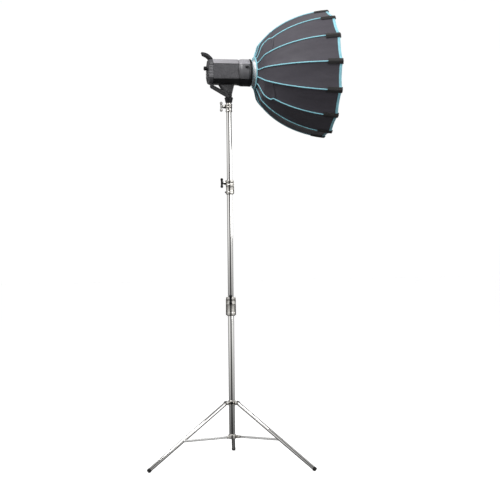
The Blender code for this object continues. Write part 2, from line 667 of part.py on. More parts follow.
def rib_points(count=8):
    """A rib's middle line, as (radius, 0, height), from its root at the hub to its tip at the rim."""
    length, radius = CURVE_LENGTH - RIB_INSET, CURVE_RADIUS - RIB_INSET
    first = math.asin(RIB_ROOT_RADIUS / radius)
    last = math.acos((CURVE_CENTRE - RIB_TIP) / length)
    points = []
    for i in range(count):
        share = i / (count - 1)
        angle = first + (last - first) * share
        height = CURVE_CENTRE - length * math.cos(angle) + RIB_ROOT_SHIFT * (1 - share) ** 4
        points.append((radius * math.sin(angle), 0, height))
    return points


def build_softbox(light):
    """Everything turns about the light's axis, along which local Z points."""
    step = 360.0 / RIBS
    # local X points down and local Y along +Y, so an angle from +Y towards +Z grows by 90 degrees here
    first = math.radians((FIRST_RIB + 90) % step)
    beam = joint("bayonet_twist", light, rotation=ALONG_X)

    ring = [
        (0.0745, FLANGE_FRONT), (0.0745, FLANGE_REAR), (RING_RADIUS, FLANGE_REAR), (RING_RADIUS, RING_REAR),
        (0.0490, RING_REAR), (0.0490, FLANGE_FRONT),
    ]
    paint(turned("speedring", beam, ring, sides=32), ALUMINIUM)
    hub = [(0.0690, 0.1560), (0.0690, 0.1348), (0.0500, 0.1348), (0.0500, 0.1560)]
    paint(turned("rib_hub", beam, hub, sides=28), ALUMINIUM)

    points = rib_points()
    for number in range(RIBS):
        turn = (0, 0, first + math.radians(step * number))
        paint(wire(f"rib_{number + 1:02d}", beam, points, RIB_RADIUS, rotation=turn), FIBREGLASS)

    heights = [CANOPY_REAR, 0.1385, 0.1540, 0.1800, 0.2200, 0.2750, 0.3450, 0.4200, RIM - RIM_BINDING]
    side = [(CANOPY_OPENING, CANOPY_REAR)] + [(canopy_radius(height), height) for height in heights[1:]]
    canopy = turned("canopy", beam, side[::-1], rotation=(0, 0, first), sides=RIBS, closed=False)
    solidify = canopy.modifiers.new("cloth", "SOLIDIFY")
    solidify.thickness = CANOPY_THICKNESS
    solidify.offset = -1.0
    paint(canopy, FABRIC)

    outer = canopy_radius(RIM) + 0.002
    inner, rear = outer - 0.014, RIM - 0.0087
    hem = [(outer, RIM), (outer, rear), (inner, rear), (inner, RIM)]
    paint(turned("rim_hem", beam, hem, rotation=(0, 0, first), sides=RIBS), CYAN)
    turn = (0, 0, first)
    front = cylinder("diffuser", beam, DIFFUSER_RADIUS, RIM - 0.0220, RIM - 0.0205, rotation=turn, sides=RIBS)
    paint(front, WHITE_FABRIC)


def centre_on_footprint(assembly):
    """Moves the assembly so that the middle of its footprint is at the origin."""
    bpy.context.view_layer.update()
    graph = bpy.context.evaluated_depsgraph_get()
    corners = []
    for obj in bpy.data.collections[PARTS].objects:
        if obj.type != "EMPTY":
            evaluated = obj.evaluated_get(graph)
            mesh = evaluated.to_mesh()
            corners += [obj.matrix_world @ vertex.co for vertex in mesh.vertices]
            evaluated.to_mesh_clear()
    for axis in (0, 1):
        values = [corner[axis] for corner in corners]
        assembly.location[axis] -= (min(values) + max(values)) / 2
    bpy.context.view_layer.update()


def main():
    clear_scene()
    assembly = joint("assembly", None)
    top_riser = build_stand(assembly)
    pan = joint("pan", top_riser)
    paint(stand_socket(pan), BLACK_PLASTIC)
    paint(socket_screw(pan), BLACK_PLASTIC)
    tilt = joint("tilt", pan, (0, 0, TILT_PIVOT))
    paint(tilt_plate(tilt), DARK_GREY)
    paint(tilt_lever(tilt), BLACK_PLASTIC)
    light = build_light(tilt)
    build_softbox(light)
    centre_on_footprint(assembly)


main()
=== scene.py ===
"""Looks of a softbox light on its folding stand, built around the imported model. Metres, in the row frame.

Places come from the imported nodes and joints, and from the measures below. Stand, head, light, softbox
and studio each have a section.
"""

from contextlib import contextmanager
import json
import math

import bmesh
import bpy
from mathutils import Matrix, Vector, noise


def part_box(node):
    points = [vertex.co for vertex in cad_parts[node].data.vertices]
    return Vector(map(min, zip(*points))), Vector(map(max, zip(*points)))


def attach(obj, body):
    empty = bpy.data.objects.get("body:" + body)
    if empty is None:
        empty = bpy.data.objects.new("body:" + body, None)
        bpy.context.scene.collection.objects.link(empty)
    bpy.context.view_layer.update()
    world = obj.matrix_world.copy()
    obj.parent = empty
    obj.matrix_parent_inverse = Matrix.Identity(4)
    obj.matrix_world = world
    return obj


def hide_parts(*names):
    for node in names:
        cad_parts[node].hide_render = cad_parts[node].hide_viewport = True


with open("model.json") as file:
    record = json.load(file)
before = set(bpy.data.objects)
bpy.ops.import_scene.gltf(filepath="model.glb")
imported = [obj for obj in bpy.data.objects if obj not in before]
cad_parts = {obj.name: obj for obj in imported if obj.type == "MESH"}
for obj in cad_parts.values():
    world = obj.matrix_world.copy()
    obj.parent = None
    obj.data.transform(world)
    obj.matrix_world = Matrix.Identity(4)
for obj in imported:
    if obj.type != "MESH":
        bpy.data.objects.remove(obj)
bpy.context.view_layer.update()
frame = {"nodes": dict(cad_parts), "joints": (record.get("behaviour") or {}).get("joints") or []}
JOINTS = {joint["name"]: joint for joint in frame["joints"]}


def middle(node):
    low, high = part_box(node)
    return (low + high) / 2


def spot_of(joint):
    return Vector(JOINTS[joint]["pos_m"])


def axis_of(joint):
    return Vector(JOINTS[joint]["axis"])


X, Y, Z = Vector((1, 0, 0)), Vector((0, 1, 0)), Vector((0, 0, 1))
COLUMN = Vector((middle("base_tube").x, middle("base_tube").y, 0))
AXIS = Vector((COLUMN.x, COLUMN.y, middle("speedring").z))  # on the light's axis, over the column

# ---- light, measured along its axis from the column, and across it
PANEL_FRONT = -0.086
BODY_REAR = -0.104
BODY_FRONT = 0.042
BELL_FRONT = 0.104
HALF_WIDTH = 0.0585
BODY_TOP = 0.0635
BODY_BOTTOM = -0.0605
SEAM = 0.0365
BELLY_SEAM = -0.037
BELL_RADIUS = 0.068

# ---- softbox, measured the same way
RIBS = 14
RIB_STEP = 360.0 / RIBS
FIRST_RIB = -4.3  # degrees below level on the near side
OPENING_FRONT = 0.1295
OPENING_RADIUS = 0.08
RIM = 0.503
CURVE_CENTRE, CURVE_LENGTH, CURVE_RADIUS = 0.5615, 0.452, 0.32
KINKED_RIBS = (-2, 2, 5, 9)  # the ribs beside the access flaps
FLAP_PANELS = (-2, 1, 5, 8)
FLAP_FRONT = 0.203

# ---- stand
LEG_KEYS = ("a", "b", "c")
FOOT_RADIUS = 0.459
LEG_END_HEIGHT = 0.0115
LEG_TUBE_RADIUS = 0.0095


# ---------------------------------------------------------------- placements
def placed(origin, z_axis, x_axis):
    """Matrix of a local frame, from its origin and two of its axes, which are made square."""
    z_axis = z_axis.normalized()
    y_axis = z_axis.cross(x_axis).normalized()
    x_axis = y_axis.cross(z_axis)
    turn = Matrix((x_axis, y_axis, z_axis)).transposed().to_4x4()
    return Matrix.Translation(origin) @ turn


UPRIGHT = Matrix.Translation(COLUMN)  # local Z is the height above the floor
HEAD = Matrix.Translation(AXIS)
BEAM = placed(AXIS, X, Y)  # local Z runs along the light's axis, local X along +Y, local Y up


def outward(azimuth):
    angle = math.radians(azimuth)
    return Vector((math.cos(angle), math.sin(angle), 0))


# -------------------------------------------------------------- mesh making
def fillet(outline, radius, steps=4, closed=True):
    """The outline with each corner rounded. A point may bring its own radius as a third value."""
    count, rounded = len(outline), []
    for i, point in enumerate(outline):
        corner = Vector(point[:2])
        reach = point[2] if len(point) > 2 else radius
        if reach == 0 or (not closed and i in (0, count - 1)):
            rounded.append(tuple(corner))
            continue
        before, after = Vector(outline[i - 1][:2]), Vector(outline[(i + 1) % count][:2])
        start = corner + (before - corner).normalized() * min(reach, (before - corner).length * 0.45)
        end = corner + (after - corner).normalized() * min(reach, (after - corner).length * 0.45)
        for step in range(steps + 1):
            t = step / steps
            rounded.append(tuple(start * (1 - t) ** 2 + corner * 2 * t * (1 - t) + end * t * t))
    return rounded


@contextmanager
def edited(mesh):
    """Opens a mesh for editing, and writes it back."""
    bm = bmesh.new()
    bm.from_mesh(mesh)
    yield bm
    bm.to_mesh(mesh)
    bm.free()


def finished(bm):
    mesh = bpy.data.meshes.new("mesh")
    bm.to_mesh(mesh)
    bm.free()
    return mesh


def fill_holes(bm):
    bmesh.ops.holes_fill(bm, edges=[edge for edge in bm.edges if edge.is_boundary])


def merge_points(bm):
    bmesh.ops.remove_doubles(bm, verts=bm.verts, dist=1e-6)


def face_outwards(bm):
    bmesh.ops.recalc_face_normals(bm, faces=bm.faces)


def grid_mesh(rows, closed_rows=False, closed_columns=False, uvs=None):
    """Quads over rows of points. Points that fall together are merged, and UVs are in metres."""
    bm = bmesh.new()
    layer = bm.loops.layers.uv.new("metres")
    verts = [[bm.verts.new(point) for point in row] for row in rows]
    height, width = len(rows), len(rows[0])
    for i in range(height - (0 if closed_rows else 1)):
        for j in range(width - (0 if closed_columns else 1)):
            spots = [(i, j), (i, j + 1), (i + 1, j + 1), (i + 1, j)]
            face = bm.faces.new([verts[a % height][b % width] for a, b in spots])
            if uvs:
                for loop, (a, b) in zip(face.loops, spots):
                    loop[layer].uv = uvs(a, b)
    merge_points(bm)
    bmesh.ops.dissolve_degenerate(bm, edges=bm.edges, dist=1e-7)
    face_outwards(bm)
    return finished(bm)


def lengths(points):
    total, found = 0.0, [0.0]
    for a, b in zip(points, points[1:]):
        total += (Vector(b) - Vector(a)).length
        found.append(total)
    return found


def lathe(profile, steps=72, start=0.0, sweep=360.0):
    """(radius, height) points turned about local Z. A profile that starts off the axis is a closed loop."""
    whole = sweep == 360.0
    if profile[0][0] > 0:
        profile = profile + profile[:1]
    along = lengths(profile)
    around = max(radius for radius, _ in profile)
    count = steps if whole else steps + 1
    angles = [math.radians(start + sweep * i / steps) for i in range(count)]
    rows = [[(r * math.cos(a), r * math.sin(a), h) for r, h in profile] for a in angles]

    def uv(i, j):
        return (math.radians(sweep) * i / steps * around, along[j])

    mesh = grid_mesh(rows, closed_rows=whole, uvs=uv)
    if not whole:
        with edited(mesh) as bm:
            fill_holes(bm)
            face_outwards(bm)
    return mesh


def prism(outlines, low, high, edge=0.0):
    """A flat outline in local XY and its holes, between two heights, with rounded edges."""
    curve = bpy.data.curves.new("outline", "CURVE")
    curve.dimensions = "2D"
    curve.fill_mode = "BOTH"
    curve.extrude = (high - low) / 2 - edge
    curve.bevel_depth = edge
    curve.bevel_resolution = 2
    curve.offset = -edge
    for outline in outlines:
        spline = curve.splines.new("POLY")
        spline.points.add(len(outline) - 1)
        for point, (x, y) in zip(spline.points, outline):
            point.co = (x, y, 0, 1)
        spline.use_cyclic_u = True
    guide = bpy.data.objects.new("outline", curve)
    bpy.context.scene.collection.objects.link(guide)
    mesh = evaluated_mesh(guide)
    bpy.data.objects.remove(guide)
    bpy.data.curves.remove(curve)
    with edited(mesh) as bm:
        merge_points(bm)
        bmesh.ops.translate(bm, verts=bm.verts, vec=(0, 0, (low + high) / 2))
        face_outwards(bm)
    return mesh


def evaluated_mesh(obj):
    bpy.context.view_layer.update()
    return bpy.data.meshes.new_from_object(obj.evaluated_get(bpy.context.evaluated_depsgraph_get()))


def rectangle(left, bottom, right, top, radius, steps=4):
    return fillet([(left, bottom), (right, bottom), (right, top), (left, top)], radius, steps)


def rounded_box(width, height, radius):
    return rectangle(-width / 2, -height / 2, width / 2, height / 2, radius)


def circle(x, y, radius, count=28):
    angles = [math.tau * i / count for i in range(count)]
    return [(x + radius * math.cos(a), y + radius * math.sin(a)) for a in angles]


def block(low, high, edge, steps=3):
    """A box with rounded edges."""
    low, high = Vector(low), Vector(high)
    bm = bmesh.new()
    bmesh.ops.create_cube(bm, size=1.0)
    bmesh.ops.scale(bm, verts=bm.verts, vec=high - low)
    bmesh.ops.translate(bm, verts=bm.verts, vec=(low + high) / 2)
    bmesh.ops.bevel(bm, geom=list(bm.edges), offset=edge, segments=steps, profile=0.5, affect="EDGES")
    return finished(bm)


def sweep_mesh(points, normals, section, closed=False):
    """A closed section, as (across, outward) points, carried along a path with given outward directions."""
    count, rows = len(points), []
    for i, (point, normal) in enumerate(zip(points, normals)):
        after = points[(i + 1) % count] if closed or i < count - 1 else point
        before = points[i - 1] if closed or i > 0 else point
        across = (after - before).cross(normal).normalized()
        rows.append([point + across * a + normal * n for a, n in section])
    along = lengths(points + points[:1])
    girth = lengths([(a, n) for a, n in section + section[:1]])
    mesh = grid_mesh(rows, closed, True, lambda i, j: (girth[j], along[i]))
    if not closed:
        with edited(mesh) as bm:
            fill_holes(bm)
            face_outwards(bm)
    return mesh


def joined(meshes):
    """One mesh that holds several."""
    bm = bmesh.new()
    for mesh in meshes:
        bm.from_mesh(mesh)
        bpy.data.meshes.remove(mesh)
    return finished(bm)


def moved(mesh, matrix):
    mesh.transform(matrix)
    return mesh


def piece(name, shape, body, look, *nodes, at=Matrix.Identity(4), sharp=38):
    """Puts a mesh, or several as one, in the scene on its body. look is (material, the record's slot), and
    its slot is not used.
    """
    material, slot = look
    mesh = joined(shape) if isinstance(shape, list) else shape
    mesh.transform(at)
    mesh.name = name
    mesh.materials.append(material)
    mesh.shade_smooth()
    mesh.set_sharp_from_angle(angle=math.radians(sharp))
    obj = bpy.data.objects.new(name, mesh)
    bpy.context.scene.collection.objects.link(obj)
    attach(obj, body)
    if nodes:
        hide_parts(*nodes)
    return obj


def carved(mesh, *cutters):
    """The mesh with other meshes cut out of it."""
    base = bpy.data.objects.new("carved", mesh)
    helpers = [bpy.data.objects.new("cutter", cutter) for cutter in cutters]
    for obj in (base, *helpers):
        bpy.context.scene.collection.objects.link(obj)
    for helper in helpers:
        modifier = base.modifiers.new("cut", "BOOLEAN")
        modifier.operation = "DIFFERENCE"
        modifier.object = helper
    result = evaluated_mesh(base)
    for obj in (base, *helpers):
        data = obj.data
        bpy.data.objects.remove(obj)
        bpy.data.meshes.remove(data)
    return result


# ---------------------------------------------------------------- materials
def add_node(owner, kind, settings=(), **inputs):
    """A shader node of a material or world. Its inputs are values or other nodes' outputs."""
    tree = owner.node_tree
    node = tree.nodes.new("ShaderNode" + kind)
    for key, value in dict(settings).items():
        setattr(node, key, value)
    for key, value in inputs.items():
        socket = node.inputs[key.replace("_", " ")]
        if isinstance(value, bpy.types.NodeSocket):
            tree.links.new(value, socket)
        else:
            socket.default_value = value
    return node


def scaled(material, space, scale):
    """Coordinates for a texture. One number scales all three axes."""
    scale = scale if isinstance(scale, tuple) else (scale,) * 3
    source = add_node(material, "TexCoord").outputs[space]
    return add_node(material, "Mapping", Vector=source, Scale=scale).outputs["Vector"]


def speckle(material, space, scale, detail=3.0):
    return add_node(material, "TexNoise", Vector=scaled(material, space, scale), Scale=1.0, Detail=detail)


WAVE_SCALE = 0.3142  # at this scale a wave texture has one band to a unit


def bumped(material, space, relief):
    """Normal that carries the reliefs one on top of the other, each (kind, scale, depth)."""
    normal = None
    for kind, scale, depth in relief:
        vector = scaled(material, space, scale)
        if kind == "noise":
            height = add_node(material, "TexNoise", Vector=vector, Scale=1.0, Detail=2.0).outputs["Fac"]
        elif kind == "cells":
            height = add_node(material, "TexVoronoi", Vector=vector, Scale=1.0).outputs["Distance"]
        else:
            settings = {"wave_type": "BANDS", "bands_direction": kind}
            height = add_node(material, "TexWave", settings, Vector=vector, Scale=WAVE_SCALE).outputs["Fac"]
        inputs = {"Height": height, "Distance": depth, "Strength": 1.0}
        if normal:
            inputs["Normal"] = normal
        normal = add_node(material, "Bump", **inputs).outputs["Normal"]
    return normal


def finish(name, slot, colour, roughness, metallic=0.0, space="Object", patches=30, tint=0.12, rough=0.07,
           relief=(), **constants):
    """A look: a mottled Principled material with its reliefs, and the record's slot."""
    material = bpy.data.materials.new(name)
    material.use_nodes = True
    tree = material.node_tree
    shader = tree.nodes["Principled BSDF"]
    shader.inputs["Metallic"].default_value = metallic
    for key, value in constants.items():
        shader.inputs[key.replace("_", " ")].default_value = value
    mottle = speckle(material, space, patches).outputs["Fac"]
    ramp = add_node(material, "ValToRGB", Fac=mottle)
    ramp.color_ramp.elements[0].position = 0.3
    ramp.color_ramp.elements[1].position = 0.7
    ramp.color_ramp.elements[0].color = (*[c * (1 - tint) for c in colour], 1)
    ramp.color_ramp.elements[1].color = (*[min(1.0, c * (1 + tint)) for c in colour], 1)
    tree.links.new(ramp.outputs["Color"], shader.inputs["Base Color"])
    finer = tuple(c * 2.7 for c in patches) if isinstance(patches, tuple) else patches * 2.7
    wear = speckle(material, space, finer).outputs["Fac"]
    spread = add_node(material, "MapRange", Value=wear, From_Min=0.3, From_Max=0.7,
                      To_Min=max(0.02, roughness - rough), To_Max=min(1.0, roughness + rough))
    tree.links.new(spread.outputs["Result"], shader.inputs["Roughness"])
    if relief:
        tree.links.new(bumped(material, space, relief), shader.inputs["Normal"])
    return material, slot


def threads(pitch, depth):
    """Relief of a plain weave: one thread each way every pitch."""
    scale = (1 / pitch, 1 / pitch, 1)
    return [("X", scale, depth), ("Y", scale, depth)]


STEEL = finish("polished_steel", "stainless_steel", (0.8, 0.79, 0.77), 0.1, 1.0, "UV", (60, 4, 1), 0.05, 0.05,
               [("noise", (4000, 12, 1), 0.00001)])
CAST = finish("plated_casting", "cast_metal", (0.7, 0.68, 0.64), 0.22, 1.0, patches=60, rough=0.08,
              relief=[("noise", 350, 0.00008)])
DULL = finish("dull_zinc", "cast_metal", (0.52, 0.51, 0.49), 0.36, 0.9, patches=150, tint=0.15,
              relief=[("noise", 500, 0.0001)])
BRACE = finish("pressed_strip", "brace_strip", (0.86, 0.86, 0.85), 0.3, 1.0, patches=40, tint=0.05,
               relief=[("noise", (900, 900, 60), 0.00003)])
BOLT = finish("black_bolt", "black_plastic", (0.02, 0.02, 0.02), 0.35, 0.6, patches=200, tint=0.2)
BLACK = finish("black_plastic", "black_plastic", (0.017, 0.017, 0.019), 0.42, patches=50, tint=0.25,
               relief=[("noise", 1500, 0.00005)])
GRIP = finish("grip_plastic", "black_plastic", (0.03, 0.03, 0.033), 0.48, patches=60, tint=0.25,
              relief=[("cells", 900, 0.00008)])
# Near black. On the lower shell and the bell's lower band it is painted shade, where the housing faces down
# away from the light, and on the core behind the seams it is painted shade in the gaps; on the bezels,
# frames, rings, mouth and liner it is the plastic's own black.
BLACK_AND_PAINTED_SHADE = finish("black_and_painted_shade", "dark_housing", (0.012, 0.012, 0.014), 0.4, patches=40, tint=0.25,
               relief=[("noise", 1300, 0.00005)])
PANEL = finish("textured_panel", "dark_housing", (0.098, 0.096, 0.105), 0.5, patches=220, tint=0.35,
               relief=[("cells", 420, 0.00035)])
SMOOTH_GREY = finish("smooth_grey", "dark_housing", (0.15, 0.148, 0.158), 0.36, patches=25, tint=0.05,
                     relief=[("noise", 1200, 0.00003)])
DARK = finish("dark_plastic", "dark_housing", (0.08, 0.079, 0.086), 0.4, patches=40, tint=0.15,
              relief=[("noise", 1200, 0.00005)])
# Light grey. On the top cover and the bell's top band it is a painted highlight on the dark housing, lit from
# above; on the button cap, pointer and ticks it is their own grey.
LIGHT_GREY_AND_PAINTED_HIGHLIGHT = finish("light_grey_and_painted_highlight", "grey_housing", (0.37, 0.36, 0.385), 0.34, patches=20, tint=0.04,
                    relief=[("noise", 1200, 0.00003)])
YOKE = finish("yoke_plastic", "dark_housing", (0.078, 0.077, 0.083), 0.42, patches=40, tint=0.15,
              relief=[("noise", 1200, 0.00005)])
FIN_GREY = finish("fin_grey", "dark_housing", (0.36, 0.355, 0.375), 0.38, patches=60, tint=0.08,
                  relief=[("noise", 1200, 0.00004)])
RUBBER = finish("rubber", "foot_rubber", (0.014, 0.014, 0.014), 0.72, patches=120, tint=0.35,
                relief=[("noise", 700, 0.00012)])
GLASS = finish("display_glass", "display", (0.012, 0.014, 0.018), 0.07, patches=40, rough=0.03,
               Coat_Weight=0.6, Coat_Roughness=0.03)
SILVER = finish("anodised_silver", "ring_aluminium", (0.95, 0.95, 0.97), 0.4, 0.0, "UV", (30, 60, 1), 0.03,
                0.04, [("noise", (8, 5000, 1), 0.000005)])
SINK = finish("sink_aluminium", "ring_aluminium", (0.75, 0.75, 0.76), 0.4, 1.0, tint=0.06,
              relief=[("noise", (60, 1500, 1500), 0.00004)])
PHOSPHOR = finish("led_phosphor", "led", (0.8, 0.6, 0.1), 0.45, patches=600, tint=0.1,
                  relief=[("cells", 500, 0.0001)])
ROD = finish("glass_fibre_rod", "rib_rod", (0.028, 0.028, 0.03), 0.3, patches=400, tint=0.3,
             relief=[("noise", 900, 0.00003)])
CLOTH = finish("canopy_nylon", "softbox_fabric", (0.072, 0.066, 0.082), 0.62, space="UV", patches=(14, 5, 1),
               tint=0.1, relief=[("noise", (26, 7, 1), 0.0012), *threads(0.0006, 0.00008)], Sheen_Weight=0.25,
               Sheen_Roughness=0.4)
LINING = finish("silver_lining", "softbox_fabric", (0.72, 0.73, 0.75), 0.3, 0.9, "UV", (40, 40, 1), 0.06,
                0.08, [("noise", (60, 60, 1), 0.0004), *threads(0.0008, 0.0001)])
CYAN = finish("cyan_binding", "binding", (0.36, 0.8, 0.95), 0.45, space="UV", patches=(60, 60, 1), tint=0.1,
              relief=threads(0.0012, 0.00015), Sheen_Weight=0.4, Sheen_Roughness=0.4)
WEBBING = finish("black_webbing", "softbox_fabric", (0.02, 0.018, 0.018), 0.68, space="UV",
                 patches=(200, 200, 1), tint=0.35, relief=threads(0.002, 0.0004), Sheen_Weight=0.15,
                 Sheen_Roughness=0.5)
WHITE_CLOTH = finish("diffuser_cloth", "diffuser_fabric", (0.86, 0.86, 0.87), 0.8, 0.0, "UV", (12, 12, 1),
                     0.02, relief=[("noise", (18, 18, 1), 0.0008), *threads(0.0007, 0.00008)],
                     Sheen_Weight=0.2, Sheen_Roughness=0.5)


# -------------------------------------------------------------------- stand
WALL = 0.0007
LEG_WALL = 0.0008
FLOOR_GAP = 0.00002  # what is left between the floor and the feet
PIVOT_RADIUS = 0.033
BRACE_NEAR, BRACE_FAR = 0.0114, 0.0134  # the brace's two faces, measured across from its leg's middle plane


def stand_tube(node, body):
    low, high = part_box(node)
    radius = (high.x - low.x) / 2
    section = [(radius, high.z), (radius, low.z), (radius - WALL, low.z), (radius - WALL, high.z)]
    piece(node + "_steel", lathe(fillet(section, 0.0003, 2)), body, STEEL, node, at=UPRIGHT)


def knob_frame(name):
    """Local Z points out along the screw, and local X down."""
    return placed(spot_of(name + "_turn"), axis_of(name + "_turn"), -Z)


def clamp_sleeve(node, body, bore, outer, boss_end, rib_sides):
    """Plated sleeve with rings, a screw boss and side ribs. Heights are shares of the sleeve's own."""
    low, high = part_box(node)
    bottom, top = low.z, high.z
    waist = outer - 0.0024
    shape = [(bore, 1.0), (outer - 0.0015, 1.0), (outer, 0.98), (outer, 0.86), (waist, 0.83), (waist, 0.7),
             (outer - 0.0006, 0.68), (outer - 0.0006, 0.6), (waist, 0.57), (waist - 0.0004, 0.2),
             (outer - 0.0014, 0.16), (outer - 0.0014, 0.03), (outer - 0.0034, 0.0), (bore, 0.0)]
    profile = fillet([(r, bottom + (top - bottom) * share) for r, share in shape], 0.0009, 2)
    joint = node.replace("clamp", "knob") + "_turn"
    boss_shape = [(0.004, boss_end), (0.0078, boss_end), (0.0085, boss_end - 0.001), (0.0098, outer - 0.004),
                  (0.004, outer - 0.004)]
    boss = lathe(fillet(boss_shape, 0.0005, 2), 40)
    parts = [moved(lathe(profile), UPRIGHT), moved(boss, placed(spot_of(joint), axis_of(joint), Z))]
    for azimuth in rib_sides:
        rib = block((waist - 0.002, -0.0032, bottom + 0.004), (outer + 0.0018, 0.0032, top - 0.006), 0.0012)
        parts.append(moved(rib, placed(COLUMN, Z, outward(azimuth))))
    piece(node + "_casting", parts, body, CAST, node)


def screw_cap(name, body, height, azimuth, radius, reach):
    """Small black socket screw in a casting."""
    profile = [(0, reach - 0.0012), (radius * 0.45, reach - 0.0012), (radius * 0.5, reach),
               (radius * 0.85, reach), (radius, reach - 0.001), (radius, reach - 0.006), (0, reach - 0.006)]
    place = placed(COLUMN + Z * height, outward(azimuth), Z)
    piece(name, lathe(profile, 24), body, BOLT, at=place)


def wing_knob(node, body, boss_end, look):
    """T-handled screw with a waisted bar."""
    half, seat = 0.0245, boss_end + 0.009
    bar = [(0, half), (0.0045, half - 0.0004), (0.0074, half - 0.003), (0.0082, half - 0.008),
           (0.006, half * 0.4), (0.0056, 0.004), (0.0066, 0)]
    bar += [(r, -h) for r, h in reversed(bar[:-1])]
    flat = Matrix.Diagonal((0.85, 1, 1, 1))
    lying = Matrix.Translation((0, 0, seat)) @ Matrix.Rotation(math.pi / 2, 4, "Y") @ flat
    hub = [(0, seat + 0.0048), (0.0038, seat + 0.0045), (0.006, seat), (0.0066, boss_end + 0.004),
           (0.0072, boss_end + 0.0034), (0.0072, boss_end + 0.0008), (0.0034, boss_end + 0.0006),
           (0.0034, boss_end - 0.006), (0, boss_end - 0.006)]
    parts = [moved(lathe(bar, 28), lying), lathe(hub, 32)]
    piece(node + "_wing", parts, body, look, node, at=knob_frame(node))


def knurled(radius, low, high, teeth, depth=0.0005):
    """A short grip with fine teeth round it."""
    outline = []
    for i in range(teeth * 2):
        angle = math.tau * i / (teeth * 2)
        reach = radius - (depth if i % 2 else 0)
        outline.append((reach * math.cos(angle), reach * math.sin(angle)))
    return prism([outline], low, high, 0.0003)


def arms(joint, height):
    """Each pivot round the column, with its directions outwards and across."""
    for key in LEG_KEYS:
        spot = spot_of(joint + key)
        out = (spot - COLUMN - Z * height).normalized()
        yield spot, out, Z.cross(out)


def leg_collar():
    height = spot_of("leg_fold_a").z
    half = [(0.0153, 0.012), (0.018, 0.012), (0.0192, 0.0105), (0.0192, 0.007), (0.0184, 0.006)]
    ring = fillet(half + [(r, -h) for r, h in reversed(half)], 0.0006, 2)
    parts = [moved(lathe(ring), Matrix.Translation(COLUMN + Z * height))]
    caps = []
    cheek = rectangle(0.0165, -0.0085, 0.0405, 0.0085, 0.0062)
    cap = [(0, 0.0182), (0.0036, 0.0181), (0.0058, 0.017), (0.0064, 0.0152), (0.0064, 0.0132), (0, 0.0132)]
    for spot, out, across in arms("leg_fold_", height):
        for side in (1, -1):
            place = placed(COLUMN + Z * height, across * side, out)
            parts.append(moved(prism([cheek], 0.0099, 0.0131, 0.0007), place))
            caps.append(moved(lathe(cap, 24), placed(spot, across * side, out)))
    boss = fillet([(0.0034, 0.0236), (0.0066, 0.0236), (0.007, 0.0172), (0.0034, 0.0172)], 0.0006, 2)
    parts.append(moved(lathe(boss, 32), knob_frame("collar_knob")))
    piece("leg_collar_casting", parts, "collar", CAST, "leg_collar")
    piece("leg_hinge_caps", caps, "collar", CAST)
    crown = [(0, 0.033), (0.004, 0.0328), (0.0058, 0.0317), (0.003, 0.02), (0, 0.02)]
    head = [knurled(0.0075, 0.0248, 0.0318, 18), lathe(crown, 24)]
    piece("collar_knob_head", head, "collar_screw", BOLT, "collar_knob", at=knob_frame("collar_knob"))


def spreader_hub():
    height = spot_of("brace_fold_a").z
    ring = fillet([(0.0153, 0.0115), (0.0176, 0.0115), (0.019, 0.01), (0.019, -0.009), (0.0176, -0.0105),
                   (0.0153, -0.0105)], 0.0008, 2)
    parts = [moved(lathe(ring), Matrix.Translation(COLUMN + Z * height))]
    lug = rectangle(0.015, -0.008, 0.0398, 0.008, 0.0065)
    pin = [(0, 0.0166), (0.0025, 0.0164), (0.0042, 0.0156), (0.0046, 0.0142), (0.0046, 0.0138),
           (0.0024, 0.0137), (0.0024, 0.01), (0, 0.01)]
    for spot, out, across in arms("brace_fold_", height):
        parts.append(moved(prism([lug], 0.007, 0.011, 0.0007), placed(COLUMN + Z * height, across, out)))
        parts.append(moved(lathe(pin, 24), placed(spot, across, out)))
    piece("spreader_hub_casting", parts, "base", CAST, "spreader_hub")


def above_floor(mesh):
    with edited(mesh) as bm:
        everything = list(bm.verts) + list(bm.edges) + list(bm.faces)
        bmesh.ops.bisect_plane(bm, geom=everything, plane_co=Z * FLOOR_GAP, plane_no=(0, 0, -1),
                               clear_outer=True)
        fill_holes(bm)
    return mesh


def leg(key, line, length, rivet_seat):
    """Steel tube with its plug and the brace's rivet, and the rubber foot, down a line from the pivot."""
    body = "leg_" + key
    radius, inner = LEG_TUBE_RADIUS, LEG_TUBE_RADIUS - LEG_WALL
    tube = fillet([(radius, -0.0056), (radius, -length), (inner, -length), (inner, -0.0056)], 0.0002, 2)
    rivet = [(0, 0.0112), (0.004, 0.011), (0.0066, 0.01), (0.0072, 0.0086), (0.0072, 0.006), (0, 0.006)]
    piece(body + "_steel", [moved(lathe(tube, 56), line), moved(lathe(rivet, 28), rivet_seat)], body, STEEL,
          body)
    plug = [(0, 0.0096), (0.006, 0.0092), (radius, 0.007), (radius, -0.0056), (inner, -0.0062), (0, -0.0062)]
    piece(body + "_plug", lathe(plug, 40), body, BOLT, at=line)

    lip, tip = -length + 0.004, -length - 0.0103
    cap = [(radius - 0.0006, lip), (0.0098, lip), (0.0104, lip - 0.001), (0.0104, tip + 0.003),
           (0.0096, tip + 0.0008), (0.008, tip), (0, tip), (0, lip - 0.002), (radius - 0.0006, lip - 0.002)]
    foot = above_floor(moved(lathe(fillet(cap, 0.0005, 2), 48), line))
    piece(f"foot_{key}_rubber", foot, body, RUBBER, "foot_" + key)


